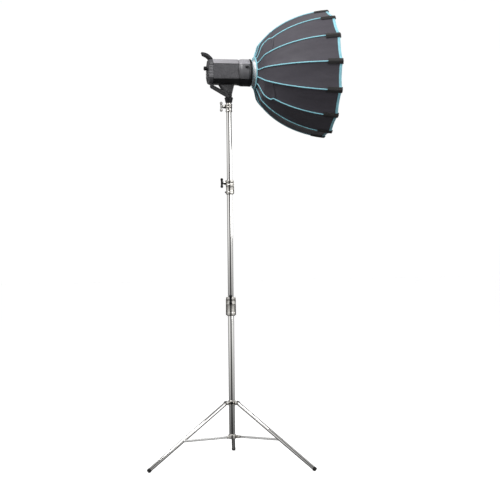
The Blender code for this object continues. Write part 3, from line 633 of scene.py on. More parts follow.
def brace(key, place, reach):
    """Pressed strip from the hub's pivot to the leg, with a raised bead and a rivet head."""
    strip = rectangle(-0.006, -0.006, reach + 0.006, 0.006, 0.0058, 6)
    bead = rectangle(0.014, -0.0022, reach - 0.014, 0.0022, 0.0021, 4)
    head = [(0, 0.0158), (0.0026, 0.0157), (0.0044, 0.0149), (0.005, 0.0136), (0.005, BRACE_FAR),
            (0, BRACE_FAR)]
    parts = [prism([strip, circle(0, 0, 0.0026)], BRACE_NEAR, BRACE_FAR, 0.0004),
             prism([bead], BRACE_FAR - 0.0005, BRACE_FAR + 0.0007, 0.0005),
             moved(lathe(head, 28), Matrix.Translation((reach, 0, 0)))]
    piece(f"brace_{key}_strip", parts, "brace_" + key, BRACE, "brace_" + key, at=place)


def leg_and_brace(key):
    pivot, hub = spot_of("leg_fold_" + key), spot_of("brace_fold_" + key)
    out = Vector((pivot.x - COLUMN.x, pivot.y - COLUMN.y, 0)).normalized()
    across = Z.cross(out)
    end = COLUMN + out * FOOT_RADIUS + Z * LEG_END_HEIGHT
    length, up = (pivot - end).length, (pivot - end).normalized()
    meeting = pivot - up * (length * (pivot.z - hub.z) / (pivot.z - end.z))
    leg(key, placed(pivot, up, out), length, placed(meeting, across, up))
    brace(key, placed(hub, across, out), (meeting - Z * hub.z - COLUMN).dot(out) - PIVOT_RADIUS)


def build_stand():
    for node, body in (("base_tube", "base"), ("riser_lower", "lower_riser"),
                       ("riser_middle", "middle_riser"), ("riser_upper", "upper_riser")):
        stand_tube(node, body)
    leg_collar()
    spreader_hub()
    for key in LEG_KEYS:
        leg_and_brace(key)
    clamp_sleeve("lower_clamp", "base", 0.0153, 0.0235, 0.032, (168, -12))
    clamp_sleeve("middle_clamp", "lower_riser", 0.0143, 0.0205, 0.03, (-12,))
    clamp_sleeve("upper_clamp", "middle_riser", 0.0133, 0.018, 0.029, ())
    wing_knob("lower_knob", "lower_screw", 0.032, BOLT)
    wing_knob("middle_knob", "middle_screw", 0.03, BOLT)
    wing_knob("upper_knob", "upper_screw", 0.029, DULL)
    screw_cap("lower_clamp_screw", "base", 0.764, 258, 0.0042, 0.025)
    screw_cap("middle_clamp_screw", "lower_riser", 1.36, 168, 0.0042, 0.0238)
    screw_cap("upper_clamp_screw", "middle_riser", 1.786, 300, 0.0042, 0.02)


# --------------------------------------------------------------------- head
PIVOT = spot_of("tilt")
PIVOT_SIDE = placed(PIVOT, -Y, X)  # local XY is the side view about the tilt pivot, local Z comes towards -Y
SHOULDER = 1.8346  # top of the socket's barrel, clear of the cheeks at every tilt
LEVER_SLOPE = 28.9


def stand_socket():
    """Tapered barrel with flutes, and the rounded tongue between the yoke's cheeks."""
    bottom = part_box("stand_socket")[0].z
    profile = fillet([(0, SHOULDER), (0.0185, SHOULDER), (0.0203, SHOULDER - 0.003), (0.02, SHOULDER - 0.009),
                      (0.0148, bottom + 0.0012), (0.0138, bottom), (0.0083, bottom), (0.0083, bottom + 0.029),
                      (0, bottom + 0.029)], 0.001, 3, closed=False)
    parts = [moved(lathe(profile), UPRIGHT)]
    lean = Matrix.Rotation(math.atan2(0.0052, 0.0232), 4, "Y")  # along the barrel's taper
    for azimuth in range(33, 393, 45):
        flute = block((-0.0016, -0.0016, -0.0135), (0.0016, 0.0016, 0.0115), 0.0008)
        place = placed(COLUMN + outward(azimuth) * 0.0176 + Z * (bottom + 0.0152), Z, outward(azimuth))
        parts.append(moved(flute, place @ lean))
    tongue = fillet([(-0.015, -0.023), (0.015, -0.023), (0.0152, 0.0155), (-0.0152, 0.0155)], 0.012, 8)
    parts.append(moved(prism([tongue], -0.0101, 0.0101, 0.0012), PIVOT_SIDE))
    piece("stand_socket_barrel", parts, "socket", GRIP, "stand_socket")


def socket_screw():
    stem = [(0, 0.034), (0.0045, 0.0338), (0.0062, 0.0326), (0.0062, 0.0218), (0.0032, 0.0214),
            (0.0032, 0.009), (0, 0.009)]
    parts = [knurled(0.0088, 0.0222, 0.033, 16, 0.001), lathe(stem, 28)]
    place = placed(spot_of("socket_screw_turn"), axis_of("socket_screw_turn"), Z)
    piece("socket_screw_grip", parts, "socket_lock", BLACK, "socket_screw", at=place)


def yoke():
    """Two cheeks with a raised border, and the bridge under the lower shell."""
    top = BODY_BOTTOM - 0.0006 + AXIS.z - PIVOT.z
    outline = fillet([(-0.05, top, 0.003), (-0.044, top - 0.01, 0.01), (-0.0162, -0.006, 0.012),
                      (-0.01, -0.0148, 0.01), (0.01, -0.0148, 0.01), (0.0158, 0.002, 0.012),
                      (0.0262, top, 0.003)], 0.003, 6)
    inset = fillet([(-0.04, top - 0.0045, 0.004), (-0.013, 0.015, 0.006), (0.0125, 0.015, 0.006),
                    (0.0205, top - 0.0045, 0.004)], 0.004, 5)
    parts = []
    for side in (1, -1):
        face = Matrix.Diagonal((1, 1, side, 1))
        cheek = carved(prism([outline], 0.0105, 0.0173, 0.0012), prism([inset], 0.0164, 0.02, 0.0002))
        parts.append(moved(cheek, PIVOT_SIDE @ face))
    bridge = block((-0.046, -0.0145, top - 0.0095), (0.022, 0.0145, top - 0.0004), 0.002)
    parts.append(moved(bridge, Matrix.Translation(PIVOT)))
    piece("yoke_cheeks", parts, "head", YOKE, "tilt_plate")


def tilt_lever():
    """Ribbed lever over the tilt bolt's hub."""
    tilt = Matrix.Rotation(-math.radians(LEVER_SLOPE), 4, "Z") @ Matrix.Translation((0, -0.015, 0))
    arm = fillet([(0.006, 0.0105, 0.006), (0.006, -0.0125, 0.006), (-0.03, -0.012, 0.02),
                  (-0.0985, -0.0112, 0.005), (-0.1045, -0.001, 0.004), (-0.101, 0.008, 0.004),
                  (-0.03, 0.01, 0.02)], 0.006, 6)
    groove = fillet([(-0.016, 0.0034), (-0.016, -0.0046), (-0.093, -0.0044), (-0.093, 0.0024)], 0.0022, 4)
    lever = carved(prism([arm], 0.0212, 0.0306, 0.0016), prism([groove], 0.029, 0.04, 0.0002))
    hub = fillet([(0, 0.033), (0.0085, 0.033), (0.0118, 0.0312), (0.0122, 0.018), (0.0048, 0.018),
                  (0.0048, -0.02), (0, -0.02)], 0.001, 3, closed=False)
    nut = prism([circle(0, 0, 0.009, 6)], -0.024, -0.018, 0.0008)
    socket = lathe([(0, 0.0334), (0.003, 0.0334), (0.0036, 0.0328), (0, 0.0328)], 6)
    piece("tilt_lever_arm", [moved(lever, tilt), lathe(hub, 48)], "lever", GRIP, "tilt_lever", at=PIVOT_SIDE)
    piece("tilt_bolt_ends", [nut, socket], "lever", BOLT, at=PIVOT_SIDE)


# -------------------------------------------------------------------- light
COVER_WALL = 0.0025
GROOVE = 0.0012  # half the gap between neighbouring panels
TIP_TAPER = 0.4  # how much narrower the handle is at its tip


def thick(outline, wall):
    """Closed outline of a wall that follows an open one, on its left."""
    inner = []
    for i, point in enumerate(outline):
        after = Vector(outline[min(i + 1, len(outline) - 1)])
        before = Vector(outline[max(i - 1, 0)])
        along = (after - before).normalized()
        inner.append((point[0] - along.y * wall, point[1] + along.x * wall))
    return outline + inner[::-1]


def body_section(shrink=0.0):
    """The eight-sided body, as (y, z), from the left seam over the top and round."""
    half = HALF_WIDTH - shrink
    top, bottom = BODY_TOP - shrink, BODY_BOTTOM + shrink
    right = [(0.031, top, 0.009), (half, SEAM + 0.003, 0.006), (half, BELLY_SEAM, 0.008),
             (0.036, bottom, 0.01)]
    return right, [(-y, z, r) for y, z, r in reversed(right)]


def body_cover(rear, front):
    right, left = body_section()
    seam = SEAM + GROOVE
    line = [(HALF_WIDTH, seam, 0), right[1], right[0], left[3], left[2], (-HALF_WIDTH, seam, 0)]
    wall = thick(fillet(line, 0.005, 5, closed=False), COVER_WALL)
    slots = []
    for x in [-0.066 + 0.0055 * i for i in range(8)]:
        slots.append(block((x - 0.0013, -0.017, BODY_TOP - 0.006), (x + 0.0013, 0.017, BODY_TOP + 0.004),
                           0.001, 2))
    cover = carved(moved(prism([wall], rear, front, 0.0007), HEAD.inverted() @ BEAM), *slots)
    # The cover's light grey is a painted highlight: the top of the dark housing, lit from above.
    piece("body_cover", cover, "head", LIGHT_GREY_AND_PAINTED_HIGHLIGHT, "housing_top", at=HEAD)


def body_belly(rear, front):
    right, left = body_section()
    seam = BELLY_SEAM - GROOVE
    near, far = (-HALF_WIDTH, BELLY_SEAM - 0.001, 0.003), (HALF_WIDTH, BELLY_SEAM - 0.001, 0.003)
    line = [(-HALF_WIDTH, seam, 0), near, left[0], right[3], far, (HALF_WIDTH, seam, 0)]
    wall = thick(fillet(line, 0.005, 5, closed=False), COVER_WALL)
    # The belly's near black is painted shade: the underside of the housing, away from the light.
    piece("body_belly", prism([wall], rear, front, 0.0007), "head", BLACK_AND_PAINTED_SHADE, "housing_bottom", at=BEAM)


def side_panel(name, side, rear, front):
    """Flat panel with a raised field."""
    low, high = BELLY_SEAM + GROOVE, SEAM - GROOVE
    panel = rectangle(rear + 0.0002, low, front - 0.0002, high, 0.0018, 3)
    low, high = BELLY_SEAM + 0.0055, SEAM - 0.007
    field = rectangle(rear + 0.005, low, front - 0.005, high, 0.003, 4)
    plates = [prism([panel], HALF_WIDTH - COVER_WALL, HALF_WIDTH, 0.0007),
              prism([field], HALF_WIDTH - 0.0008, HALF_WIDTH + 0.0006, 0.0005)]
    place = placed(AXIS, Y * side, X) @ Matrix.Diagonal((1, -side, 1, 1))
    piece("side_panel_" + name, plates, "head", PANEL, at=place)


def housing():
    rear, front = PANEL_FRONT + 0.0004, BODY_FRONT - 0.0004
    body_cover(rear, front)
    body_belly(rear, front)
    right, left = body_section(0.0022)
    # Near-black core inside the shells; its dark shows through the seams as painted shade.
    core = prism([fillet(right + left, 0.004)], rear - 0.001, front + 0.002, 0.0004)
    piece("body_core", core, "head", BLACK_AND_PAINTED_SHADE, at=BEAM)
    side_panel("far", 1, rear, front)
    side_panel("near", -1, rear, front)


# (place along the axis, share of the draw-in) of the rear cup, with its rounded edge
REAR_SECTIONS = [(PANEL_FRONT - 0.0004, 0.0), (-0.0895, 0.0), (-0.0945, 0.22), (-0.099, 0.55), (-0.1015, 0.8),
                 (-0.103, 0.97), (-0.1038, 1.1), (BODY_REAR, 1.28)]


def rear_cup():
    right, left = body_section()
    outline = fillet(right + left, 0.006, 5)
    seat = PANEL_FRONT - 0.0004
    rows = [[(seat, 0, 0)] * len(outline), [(seat, y * 0.96, z * 0.96) for y, z in outline]]
    for x, share in REAR_SECTIONS:
        ring = []
        for y, z in outline:
            lift = 0.006 * share if z < 0 else -0.003 * share
            ring.append((x, y * (1 - 0.125 * share), z + lift * abs(z) / 0.06))
        rows.append(ring)
    rows.append([(BODY_REAR, 0, 0)] * len(outline))
    piece("rear_cup", grid_mesh(rows, closed_columns=True), "head", DARK, "rear_panel", at=HEAD)


def rear_fins():
    """Stack of fins round each rear corner."""
    corner = fillet([(-0.0868, 0.056), (-0.0868, 0.0591), (-0.094, 0.0591, 0.006), (-0.1068, 0.0535, 0.005),
                     (-0.1068, 0.0415), (-0.102, 0.0415)], 0.0008, 4)
    fins = []
    for side in (1, -1):
        for i in range(8):
            fin = moved(prism([corner], -0.0014, 0.0014, 0.0005), Matrix.Diagonal((1, side, 1, 1)))
            fins.append(moved(fin, Matrix.Translation(Z * (-0.026 + 0.0072 * i))))
    piece("rear_fins", fins, "head", FIN_GREY, at=HEAD)


def bell_sector(name, profile, start, sweep, look, steps, *nodes):
    gap = 0.35  # degrees
    piece(name, lathe(profile, steps, start + gap, sweep - 2 * gap), "head", look, *nodes, at=BEAM)


def front_bell():
    """Round bell with a ringed mouth, in three tones that carry the body's bands on: a painted highlight on
    the top, grey on the sides and painted shade on the belly.
    """
    rear, lip = BODY_FRONT + 0.0004, 0.0925
    slope = []
    for i in range(9):
        t = i / 8
        slope.append((0.0635 + (BELL_RADIUS - 0.0635) * t * t * (3 - 2 * t), 0.047 + 0.017 * t))
    outer = [(0.0631, rear), (0.0635, rear + 0.0006), *slope, (BELL_RADIUS, lip - 0.0007),
             (0.0674, lip - 0.0002)]
    wall = outer + [(0.064, lip - 0.0002), (0.0605, rear)]
    ring = [(0.0655, lip + 0.0002), (0.0674, lip + 0.0002), (BELL_RADIUS, lip + 0.0008),
            (BELL_RADIUS, 0.0955), (0.0674, 0.0959), (0.0674, 0.0965), (BELL_RADIUS, 0.0969),
            (BELL_RADIUS, 0.1004), (0.0672, 0.1008), (0.064, 0.1008), (0.064, lip + 0.0002)]
    high = math.degrees(math.asin((SEAM + 0.001) / BELL_RADIUS))
    low = math.degrees(math.asin((BELLY_SEAM - 0.001) / BELL_RADIUS))
    # Lit and shaded copies of one housing by height: the light grey top is a painted highlight, the sides are
    # grey, and the near-black belly is painted shade.
    sectors = [("top", high, 180 - 2 * high, LIGHT_GREY_AND_PAINTED_HIGHLIGHT, LIGHT_GREY_AND_PAINTED_HIGHLIGHT, 60),
               ("far_side", low, high - low, SMOOTH_GREY, DARK, 36),
               ("near_side", 180 - high, high - low, SMOOTH_GREY, DARK, 36),
               ("belly", 180 - low, 180 + 2 * low, BLACK_AND_PAINTED_SHADE, BLACK_AND_PAINTED_SHADE, 60)]
    for name, start, sweep, look, ring_look, steps in sectors:
        bell_sector("bell_" + name, wall, start, sweep, look, steps, "front_bell")
        bell_sector("bell_ring_" + name, ring, start, sweep, ring_look, steps)
    shroud = BELL_FRONT + 0.007
    mouth = fillet([(0.0592, shroud), (0.0682, shroud), (0.0687, shroud - 0.0006), (0.0687, 0.102),
                    (0.064, 0.101), (0.05, 0.101), (0.05, BELL_FRONT), (0.0592, BELL_FRONT)], 0.0004, 2)
    piece("bell_mouth", lathe(mouth, 96), "head", BLACK_AND_PAINTED_SHADE, at=BEAM)
    liner = [(0.06, 0.042), (0.0632, 0.042), (0.0632, 0.06), (0.0645, 0.066), (0.0645, 0.101), (0.063, 0.101),
             (0.063, 0.066), (0.06, 0.06)]
    piece("bell_liner", lathe(liner, 72), "head", BLACK_AND_PAINTED_SHADE, at=BEAM)


def handle():
    """Horn-shaped grip that narrows towards its tip."""
    root = BODY_TOP + 0.0003
    outline = [(-0.1375, 0.0985, 0.002), (-0.1242, 0.0955, 0.02), (-0.1125, 0.0915, 0.02),
               (-0.1037, 0.0865, 0.02), (-0.0945, 0.0788, 0.02), (-0.086, 0.07, 0.01), (-0.0825, root, 0.002),
               (-0.1003, root, 0.002), (-0.105, 0.0695, 0.01), (-0.111, 0.074, 0.01), (-0.12, 0.079, 0.02),
               (-0.1315, 0.0825, 0.002)]
    grip = prism([fillet(outline, 0.006, 6)], -0.026, 0.026, 0.0022)
    with edited(grip) as bm:
        crosswise = [edge for edge in bm.edges if edge.calc_length() > 0.02]
        bmesh.ops.subdivide_edges(bm, edges=crosswise, cuts=8, use_grid_fill=True)
        for vert in bm.verts:
            vert.co.z *= 1 - TIP_TAPER * eased((-0.112 - vert.co.x) / 0.03)
    piece("handle_grip", grip, "head", GRIP, "handle", at=HEAD @ placed(Vector(), -Y, X))
    tread = [block((-0.1085 + 0.0032 * i, -0.018, 0.087 - 0.0023 * i),
                   (-0.1071 + 0.0032 * i, 0.018, 0.0902 - 0.0023 * i), 0.0006, 2) for i in range(4)]
    piece("handle_tread", tread, "head", YOKE, at=HEAD)


def on_rear(node):
    """Frame on the rear face: local X is right as seen from behind, local Y up, local Z out of the face."""
    spot = middle(node)
    return placed(Vector((AXIS.x + BODY_REAR, spot.y, spot.z)), -X, -Y)


def display():
    place = on_rear("display_window")
    bezel = prism([rounded_box(0.046, 0.028, 0.004), rounded_box(0.0384, 0.0204, 0.002)], -0.001, 0.0016,
                  0.0004)
    piece("display_bezel", bezel, "head", BLACK_AND_PAINTED_SHADE, at=place)
    glass = prism([rounded_box(0.0396, 0.0216, 0.002)], -0.002, 0.0009, 0.0003)
    piece("display_glass", glass, "head", GLASS, "display_window", at=place)


def mode_button():
    place = on_rear("mode_button")
    cap = [(0, 0.002), (0.003, 0.0021), (0.0043, 0.0018), (0.0048, 0.001), (0.0048, -0.004), (0, -0.004)]
    piece("mode_button_cap", lathe(cap, 40), "button", LIGHT_GREY_AND_PAINTED_HIGHLIGHT, "mode_button", at=place)
    ring = fillet([(0.0054, 0.0008), (0.0066, 0.0008), (0.007, -0.001), (0.0054, -0.001)], 0.0003, 2)
    piece("mode_button_ring", lathe(ring, 40), "head", BLACK_AND_PAINTED_SHADE, at=place)


def dial():
    place = on_rear("dial")
    cap = [(0, 0.0196), (0.007, 0.0194), (0.0094, 0.0186), (0.0102, 0.0172), (0.01, 0.016), (0, 0.016)]
    skirt = [(0, 0.003), (0.0112, 0.003), (0.0116, 0.0022), (0.0116, 0.0004), (0, 0.0004)]
    pointer = block((-0.0005, 0.003, 0.019), (0.0005, 0.0092, 0.0198), 0.0002, 2)
    parts = [knurled(0.0104, 0.0025, 0.0172, 30), lathe(cap, 48), lathe(skirt, 48)]
    piece("dial_grip", parts, "dial", BLACK, "dial", at=place)
    piece("dial_pointer", pointer, "dial", LIGHT_GREY_AND_PAINTED_HIGHLIGHT, at=place)
    ticks = []
    for i in range(11):
        turn = Matrix.Rotation(math.radians(135 - 27 * i), 4, "Z")
        ticks.append(moved(block((-0.0003, 0.0132, 0), (0.0003, 0.015, 0.0003), 0.0001, 1), turn))
    piece("dial_ticks", ticks, "head", LIGHT_GREY_AND_PAINTED_HIGHLIGHT, at=place)


def power_switch():
    place = on_rear("power_switch")
    side = fillet([(-0.0094, -0.003), (0.0094, -0.003), (0.0094, 0.0014, 0.0008), (0, 0.0006, 0.006),
                   (-0.0094, 0.0024, 0.0008)], 0.0008, 4)
    crosswise = placed(Vector(), Y, X) @ Matrix.Diagonal((1, -1, 1, 1))
    rocker = moved(prism([side], -0.0064, 0.0064, 0.0005), crosswise)
    piece("power_rocker", rocker, "switch", BLACK, "power_switch", at=place)
    frame_ring = prism([rounded_box(0.024, 0.018, 0.002), rounded_box(0.0204, 0.0144, 0.001)], -0.001, 0.001,
                       0.0003)
    piece("power_switch_frame", frame_ring, "head", BLACK_AND_PAINTED_SHADE, at=place)


def power_inlet():
    place = on_rear("power_inlet")
    mouth = fillet([(-0.0115, -0.0072), (0.0115, -0.0072), (0.0115, 0.0028), (0.0078, 0.0072),
                    (-0.0078, 0.0072), (-0.0115, 0.0028)], 0.001, 3)
    shell = carved(prism([rounded_box(0.0278, 0.0198, 0.002)], -0.004, 0.001, 0.0004),
                   prism([mouth], -0.0034, 0.004, 0.0002))
    piece("power_inlet_shell", shell, "head", BLACK, "power_inlet", at=place)
    pins = [block((x - 0.0008, y - 0.0019, -0.0036), (x + 0.0008, y + 0.0019, -0.0004), 0.0003, 2)
            for x, y in ((-0.0065, -0.001), (0, 0.0022), (0.0065, -0.001))]
    piece("power_inlet_pins", pins, "head", SINK, at=place)


def mount_catch():
    low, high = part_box("mount_lock")
    spot = (low + high) / 2
    place = placed(Vector((spot.x, low.y, spot.z)), -Y, X)
    slider = rectangle(-0.0088, -0.0048, 0.0088, 0.0048, 0.0022, 4)
    parts = [prism([slider], -0.0062, -0.0008, 0.0007)]
    for x in (-0.0045, -0.002, 0.0005, 0.003):
        parts.append(block((x - 0.0007, -0.004, -0.0016), (x + 0.0007, 0.004, 0.0003), 0.0004, 2))
    piece("mount_lock_slider", parts, "catch", BLACK, "mount_lock", at=place)


def keep_cad(look, *nodes):
    for node in nodes:
        materials = frame["nodes"][node].data.materials
        materials.clear()
        materials.append(look[0])


def build_light():
    stand_socket()
    socket_screw()
    yoke()
    tilt_lever()
    housing()
    rear_cup()
    rear_fins()
    front_bell()
    handle()
    for control in (display, mode_button, dial, power_switch, power_inlet, mount_catch):
        control()
    keep_cad(PHOSPHOR, "led_module")
    keep_cad(SINK, "heat_sink", "rib_hub")
    keep_cad(BLACK, "fan_rotor")
    keep_cad(CAST, "spigot")


# ------------------------------------------------------------------ softbox
PANEL_ROWS, PANEL_COLUMNS = 90, 16
LINING_DEPTH = 0.0016
POCKET_LENGTH, POCKET_HALF = 0.07, 0.0145
KINK = 0.016
SAG = 0.2  # how far a panel's middle sinks, as a share of its width squared
FLAP_REAR = 0.133
DIFFUSER_PLACE = RIM - 0.0213
DIFFUSER_BOW = 0.006


def eased(value):
    value = min(1.0, max(0.0, value))
    return value * value * (3 - 2 * value)


def canopy_radius(along):
    share = (CURVE_CENTRE - along) / CURVE_LENGTH
    curve = CURVE_RADIUS * math.sqrt(1 - share * share)
    return OPENING_RADIUS + (curve - OPENING_RADIUS) * eased((along - OPENING_FRONT) / 0.03)


def slope_at(along):
    return (canopy_radius(along + 0.0005) - canopy_radius(along - 0.0005)) / 0.001


def spoke(angle):
    """Direction across the axis. Zero is the near side, and the angle grows downwards there."""
    turn = math.radians(angle)
    return Vector((0, -math.cos(turn), -math.sin(turn)))


def rib_angle(number):
    return FIRST_RIB + RIB_STEP * number


def outward_normal(number, along):
    """Out of the cloth at a rib, or between ribs for a fractional number."""
    return (spoke(rib_angle(number)) - X * slope_at(along)).normalized()


def kink(number, along):
    """Sideways shift of a seam beside an access flap: off its rib near the ring, then back onto it."""
    if number % RIBS not in [rib % RIBS for rib in KINKED_RIBS]:
        return 0.0
    away = 1 if number % RIBS in (2, 9) else -1
    out = eased((along - 0.136) / 0.034) * (1 - eased((along - 0.187) / 0.016))
    return away * KINK * out


def seam_point(number, along):
    angle = rib_angle(number)
    sideways = spoke(angle + 90)
    return AXIS + X * along + spoke(angle) * canopy_radius(along) + sideways * kink(number, along)


def row_places(rows, start=OPENING_FRONT, end=RIM):
    return [start + (end - start) * (i / rows) ** 1.3 for i in range(rows + 1)]


def cloth_point(number, share, along, depth=0.0):
    """A point of the panel after a rib: a taut sheet that sinks between its seams and at the rim's edge."""
    left, right = seam_point(number, along), seam_point(number + 1, along)
    crown = 4 * share * (1 - share)
    out = outward_normal(number + 0.5, along)
    width = (right - left).length
    sink = SAG * width * width * crown
    spot = Vector((number * 3.7, share * 1.6, along * 7.0))
    wave = noise.noise(spot) * 0.0016 + noise.noise(spot * 3.1) * 0.0006
    rim = math.exp((along - RIM) / 0.045)
    pull = math.cos(math.tau * 3 * (share - 0.5)) * 0.0007 * rim
    back = 0.0035 * crown * eased((along - 0.42) / (RIM - 0.42))
    return left.lerp(right, share) - out * (sink + depth + (wave + pull) * crown) - X * back


def canopy_sheet(depth, rows=PANEL_ROWS, columns=PANEL_COLUMNS):
    meshes = []
    places = row_places(rows)
    for number in range(RIBS):
        shares = [j / columns for j in range(columns + 1)]
        grid = [[cloth_point(number, share, along, depth) for share in shares] for along in places]
        along = lengths([seam_point(number, place) for place in places])
        widths = [(row[-1] - row[0]).length for row in grid]

        def uv(i, j):
            return (number * 0.2 + widths[i] * (j / columns - 0.5), along[i])

        meshes.append(grid_mesh(grid, uvs=uv))
    mesh = joined(meshes)
    with edited(mesh) as bm:
        merge_points(bm)
        face_outwards(bm)
    return mesh


def oval(across, out, count=12, lift=0.0):
    angles = [math.tau * i / count for i in range(count)]
    return [(across * math.cos(a), lift + out * math.sin(a)) for a in angles]


def rib_piping():
    meshes = []
    places = row_places(120, OPENING_FRONT + 0.001, RIM - POCKET_LENGTH + 0.012)
    for number in range(RIBS):
        points = [seam_point(number, along) for along in places]
        normals = [outward_normal(number, along) for along in places]
        meshes.append(sweep_mesh(points, normals, oval(0.0031, 0.0024, lift=0.0014)))
    return joined(meshes)


def ring_path(along, columns=12, depth=0.0):
    points, normals = [], []
    for number in range(RIBS):
        for j in range(columns):
            points.append(cloth_point(number, j / columns, along, depth))
            normals.append(outward_normal(number + j / columns, along))
    return points, normals


def rim_binding():
    """Tape folded over the canopy's front edge, as (rearwards, outwards)."""
    points, normals = ring_path(RIM)
    section = [(0.012, 0.0002), (0.012, 0.001), (0.008, 0.0013), (0.001, 0.0013), (-0.001, 0.0006),
               (-0.0014, -0.0008), (-0.001, -0.0024), (0.001, -0.0032), (0.0125, -0.003), (0.0125, -0.0022),
               (0.0012, -0.0022), (0.0006, -0.0008), (0.0012, 0.0002)]
    return sweep_mesh(points, normals, section, closed=True)


def opening_binding():
    points, normals = ring_path(OPENING_FRONT + 0.0012)
    cord = sweep_mesh(points, normals, oval(0.0026, 0.003, lift=0.0006), closed=True)
    band = fillet([(0.0665, 0.128), (0.0665, 0.1288), (0.08, 0.1296), (0.0806, 0.1286), (0.079, 0.1276)],
                  0.0004, 2)
    return joined([cord, moved(lathe(band, 84), BEAM)])


def pocket(number):
    """Webbing folded over a rib's tip: along the outside, round the rim and a little way back inside."""
    across = [POCKET_HALF * (j / 5 - 1) for j in range(11)]
    outside = [POCKET_LENGTH * (1 - i / 14) for i in range(15)]
    inside = [0.004, 0.01, 0.016, 0.022]
    rows = []

    def base(offset, back):
        along = RIM - back
        spot = seam_point(number, along)
        beside = seam_point(number + (1 if offset > 0 else -1), along)
        return spot + (beside - spot).normalized() * abs(offset)

    def lift(offset):
        return 0.0016 + 0.0036 * math.cos(math.pi / 2 * offset / POCKET_HALF) ** 2

    for back in outside:
        out = outward_normal(number, RIM - back)
        rows.append([base(a, back) + out * lift(a) for a in across])
    out = outward_normal(number, RIM)
    for step in range(1, 7):
        turn = math.pi * step / 7
        row = []
        for a in across:
            reach = lift(a) * (1 + math.cos(turn)) / 2 - 0.0046 * (1 - math.cos(turn)) / 2
            row.append(base(a, 0) + out * reach + X * 0.0042 * math.sin(turn))
        rows.append(row)
    for back in inside:
        out = outward_normal(number, RIM - back)
        rows.append([base(a, back) - out * 0.005 for a in across])
    down = lengths([row[5] for row in rows])
    return grid_mesh(rows, uvs=lambda i, j: (across[j], down[i]))


def access_flap(number):
    """Second layer of cloth over a panel's rear end. Its front edge slants, and is turned under."""
    outer = number % RIBS in (1, 8)
    rows = []
    count, columns = 30, 14
    for i in range(count + 1):
        row = []
        for j in range(columns + 1):
            share = 0.03 + 0.94 * j / columns
            slant = share if outer else 1 - share
            front = FLAP_FRONT - 0.014 + 0.022 * slant
            along = FLAP_REAR + (front - FLAP_REAR) * i / count
            fold = 0.0012 * eased((along - front + 0.01) / 0.003)
            rise = 0.0004 + 0.0007 * eased(i / 4) + fold * 0.6
            row.append(cloth_point(number, share, along, -rise))
        rows.append(row)
    return grid_mesh(rows, uvs=lambda i, j: (0.006 * j, 0.0025 * i))


def diffuser_point(turn, share):
    """A point of the front cloth, from the axis at share 0 to its polygon edge at 1."""
    number = math.floor(turn)
    a, b = seam_point(number, DIFFUSER_PLACE), seam_point(number + 1, DIFFUSER_PLACE)
    centre = AXIS + X * DIFFUSER_PLACE
    edge = a.lerp(b, turn - number) - centre
    edge *= 1 - 0.0055 / edge.length
    spot = centre + edge * share
    ripple = noise.noise(spot * 9) * 0.001 * (1 - share ** 6)
    return spot + X * (DIFFUSER_BOW * (1 - share * share) + ripple)


def diffuser_sheet(start, count, rise=0.0):
    columns = RIBS * 8
    rows = []
    for i in range(count + 1):
        share = start + (1 - start) * i / count
        rows.append([diffuser_point(j / 8, share) + X * rise for j in range(columns)])

    def uv(i, j):
        offset = rows[i % len(rows)][j % columns] - AXIS
        return (offset.y, offset.z)

    return grid_mesh(rows, closed_columns=True, uvs=uv)


def stiffened(obj, thickness):
    modifier = obj.modifiers.new("cloth", "SOLIDIFY")
    modifier.thickness = thickness
    modifier.offset = 0.0
    return obj


def speedring():
    """Turned mounting ring with a grooved barrel and a flange."""
    rear, flange = 0.1043, 0.1297
    profile = [(0.049, rear), (0.0556, rear), (0.0565, rear + 0.0008), (0.0565, 0.1085), (0.056, 0.109),
               (0.056, 0.1098), (0.0565, 0.1103), (0.0565, 0.1225), (0.0572, 0.124), (0.0572, 0.1275),
               (0.058, flange), (0.0738, flange), (0.0745, flange + 0.0007), (0.0745, 0.1338),
               (0.0738, 0.1345), (0.049, 0.1345)]
    piece("speedring_turned", lathe(profile, 96), "softbox", SILVER, "speedring", at=BEAM)


def build_softbox():
    speedring()
    ribs = [f"rib_{number:02d}" for number in range(1, RIBS + 1)]
    keep_cad(ROD, *ribs)
    canopy = piece("canopy_cloth", canopy_sheet(0.0), "softbox", CLOTH, "canopy", sharp=180)
    lining = piece("canopy_lining", canopy_sheet(LINING_DEPTH, 45, 8), "softbox", LINING, sharp=180)
    piping = piece("rib_piping", rib_piping(), "softbox", CYAN, sharp=180)
    binding = piece("rim_binding", rim_binding(), "softbox", CYAN, "rim_hem", sharp=60)
    opening = piece("opening_binding", opening_binding(), "softbox", CYAN, sharp=180)
    pockets = piece("rib_pockets", [pocket(number) for number in range(RIBS)], "softbox", WEBBING)
    stiffened(pockets, 0.0014)
    flaps = piece("access_flaps", [access_flap(number) for number in FLAP_PANELS], "softbox", CLOTH)
    stiffened(flaps, 0.0008)
    white = piece("diffuser_cloth", diffuser_sheet(0.0, 24), "softbox", WHITE_CLOTH, "diffuser", sharp=180)
    hem = piece("diffuser_hem", diffuser_sheet(0.945, 3, 0.0008), "softbox", WHITE_CLOTH, sharp=180)
    stiffened(hem, 0.001)
    declare_sheets()


def declare_sheets():
    """Measures one gore's length along its seam; nothing else is done with it."""
    gore_length = lengths([seam_point(0, place) for place in row_places(60)])[-1]


# ------------------------------------------------------------------- studio
CAMERA_DISTANCE = 6.7
CAMERA_HEIGHT = 1.07
CAMERA_SIDE = 0.0985
CAMERA_TURN = 12.0  # degrees, from square on to the light's side
CAMERA_ROLL = -0.6
CAMERA_LENS = 96.48
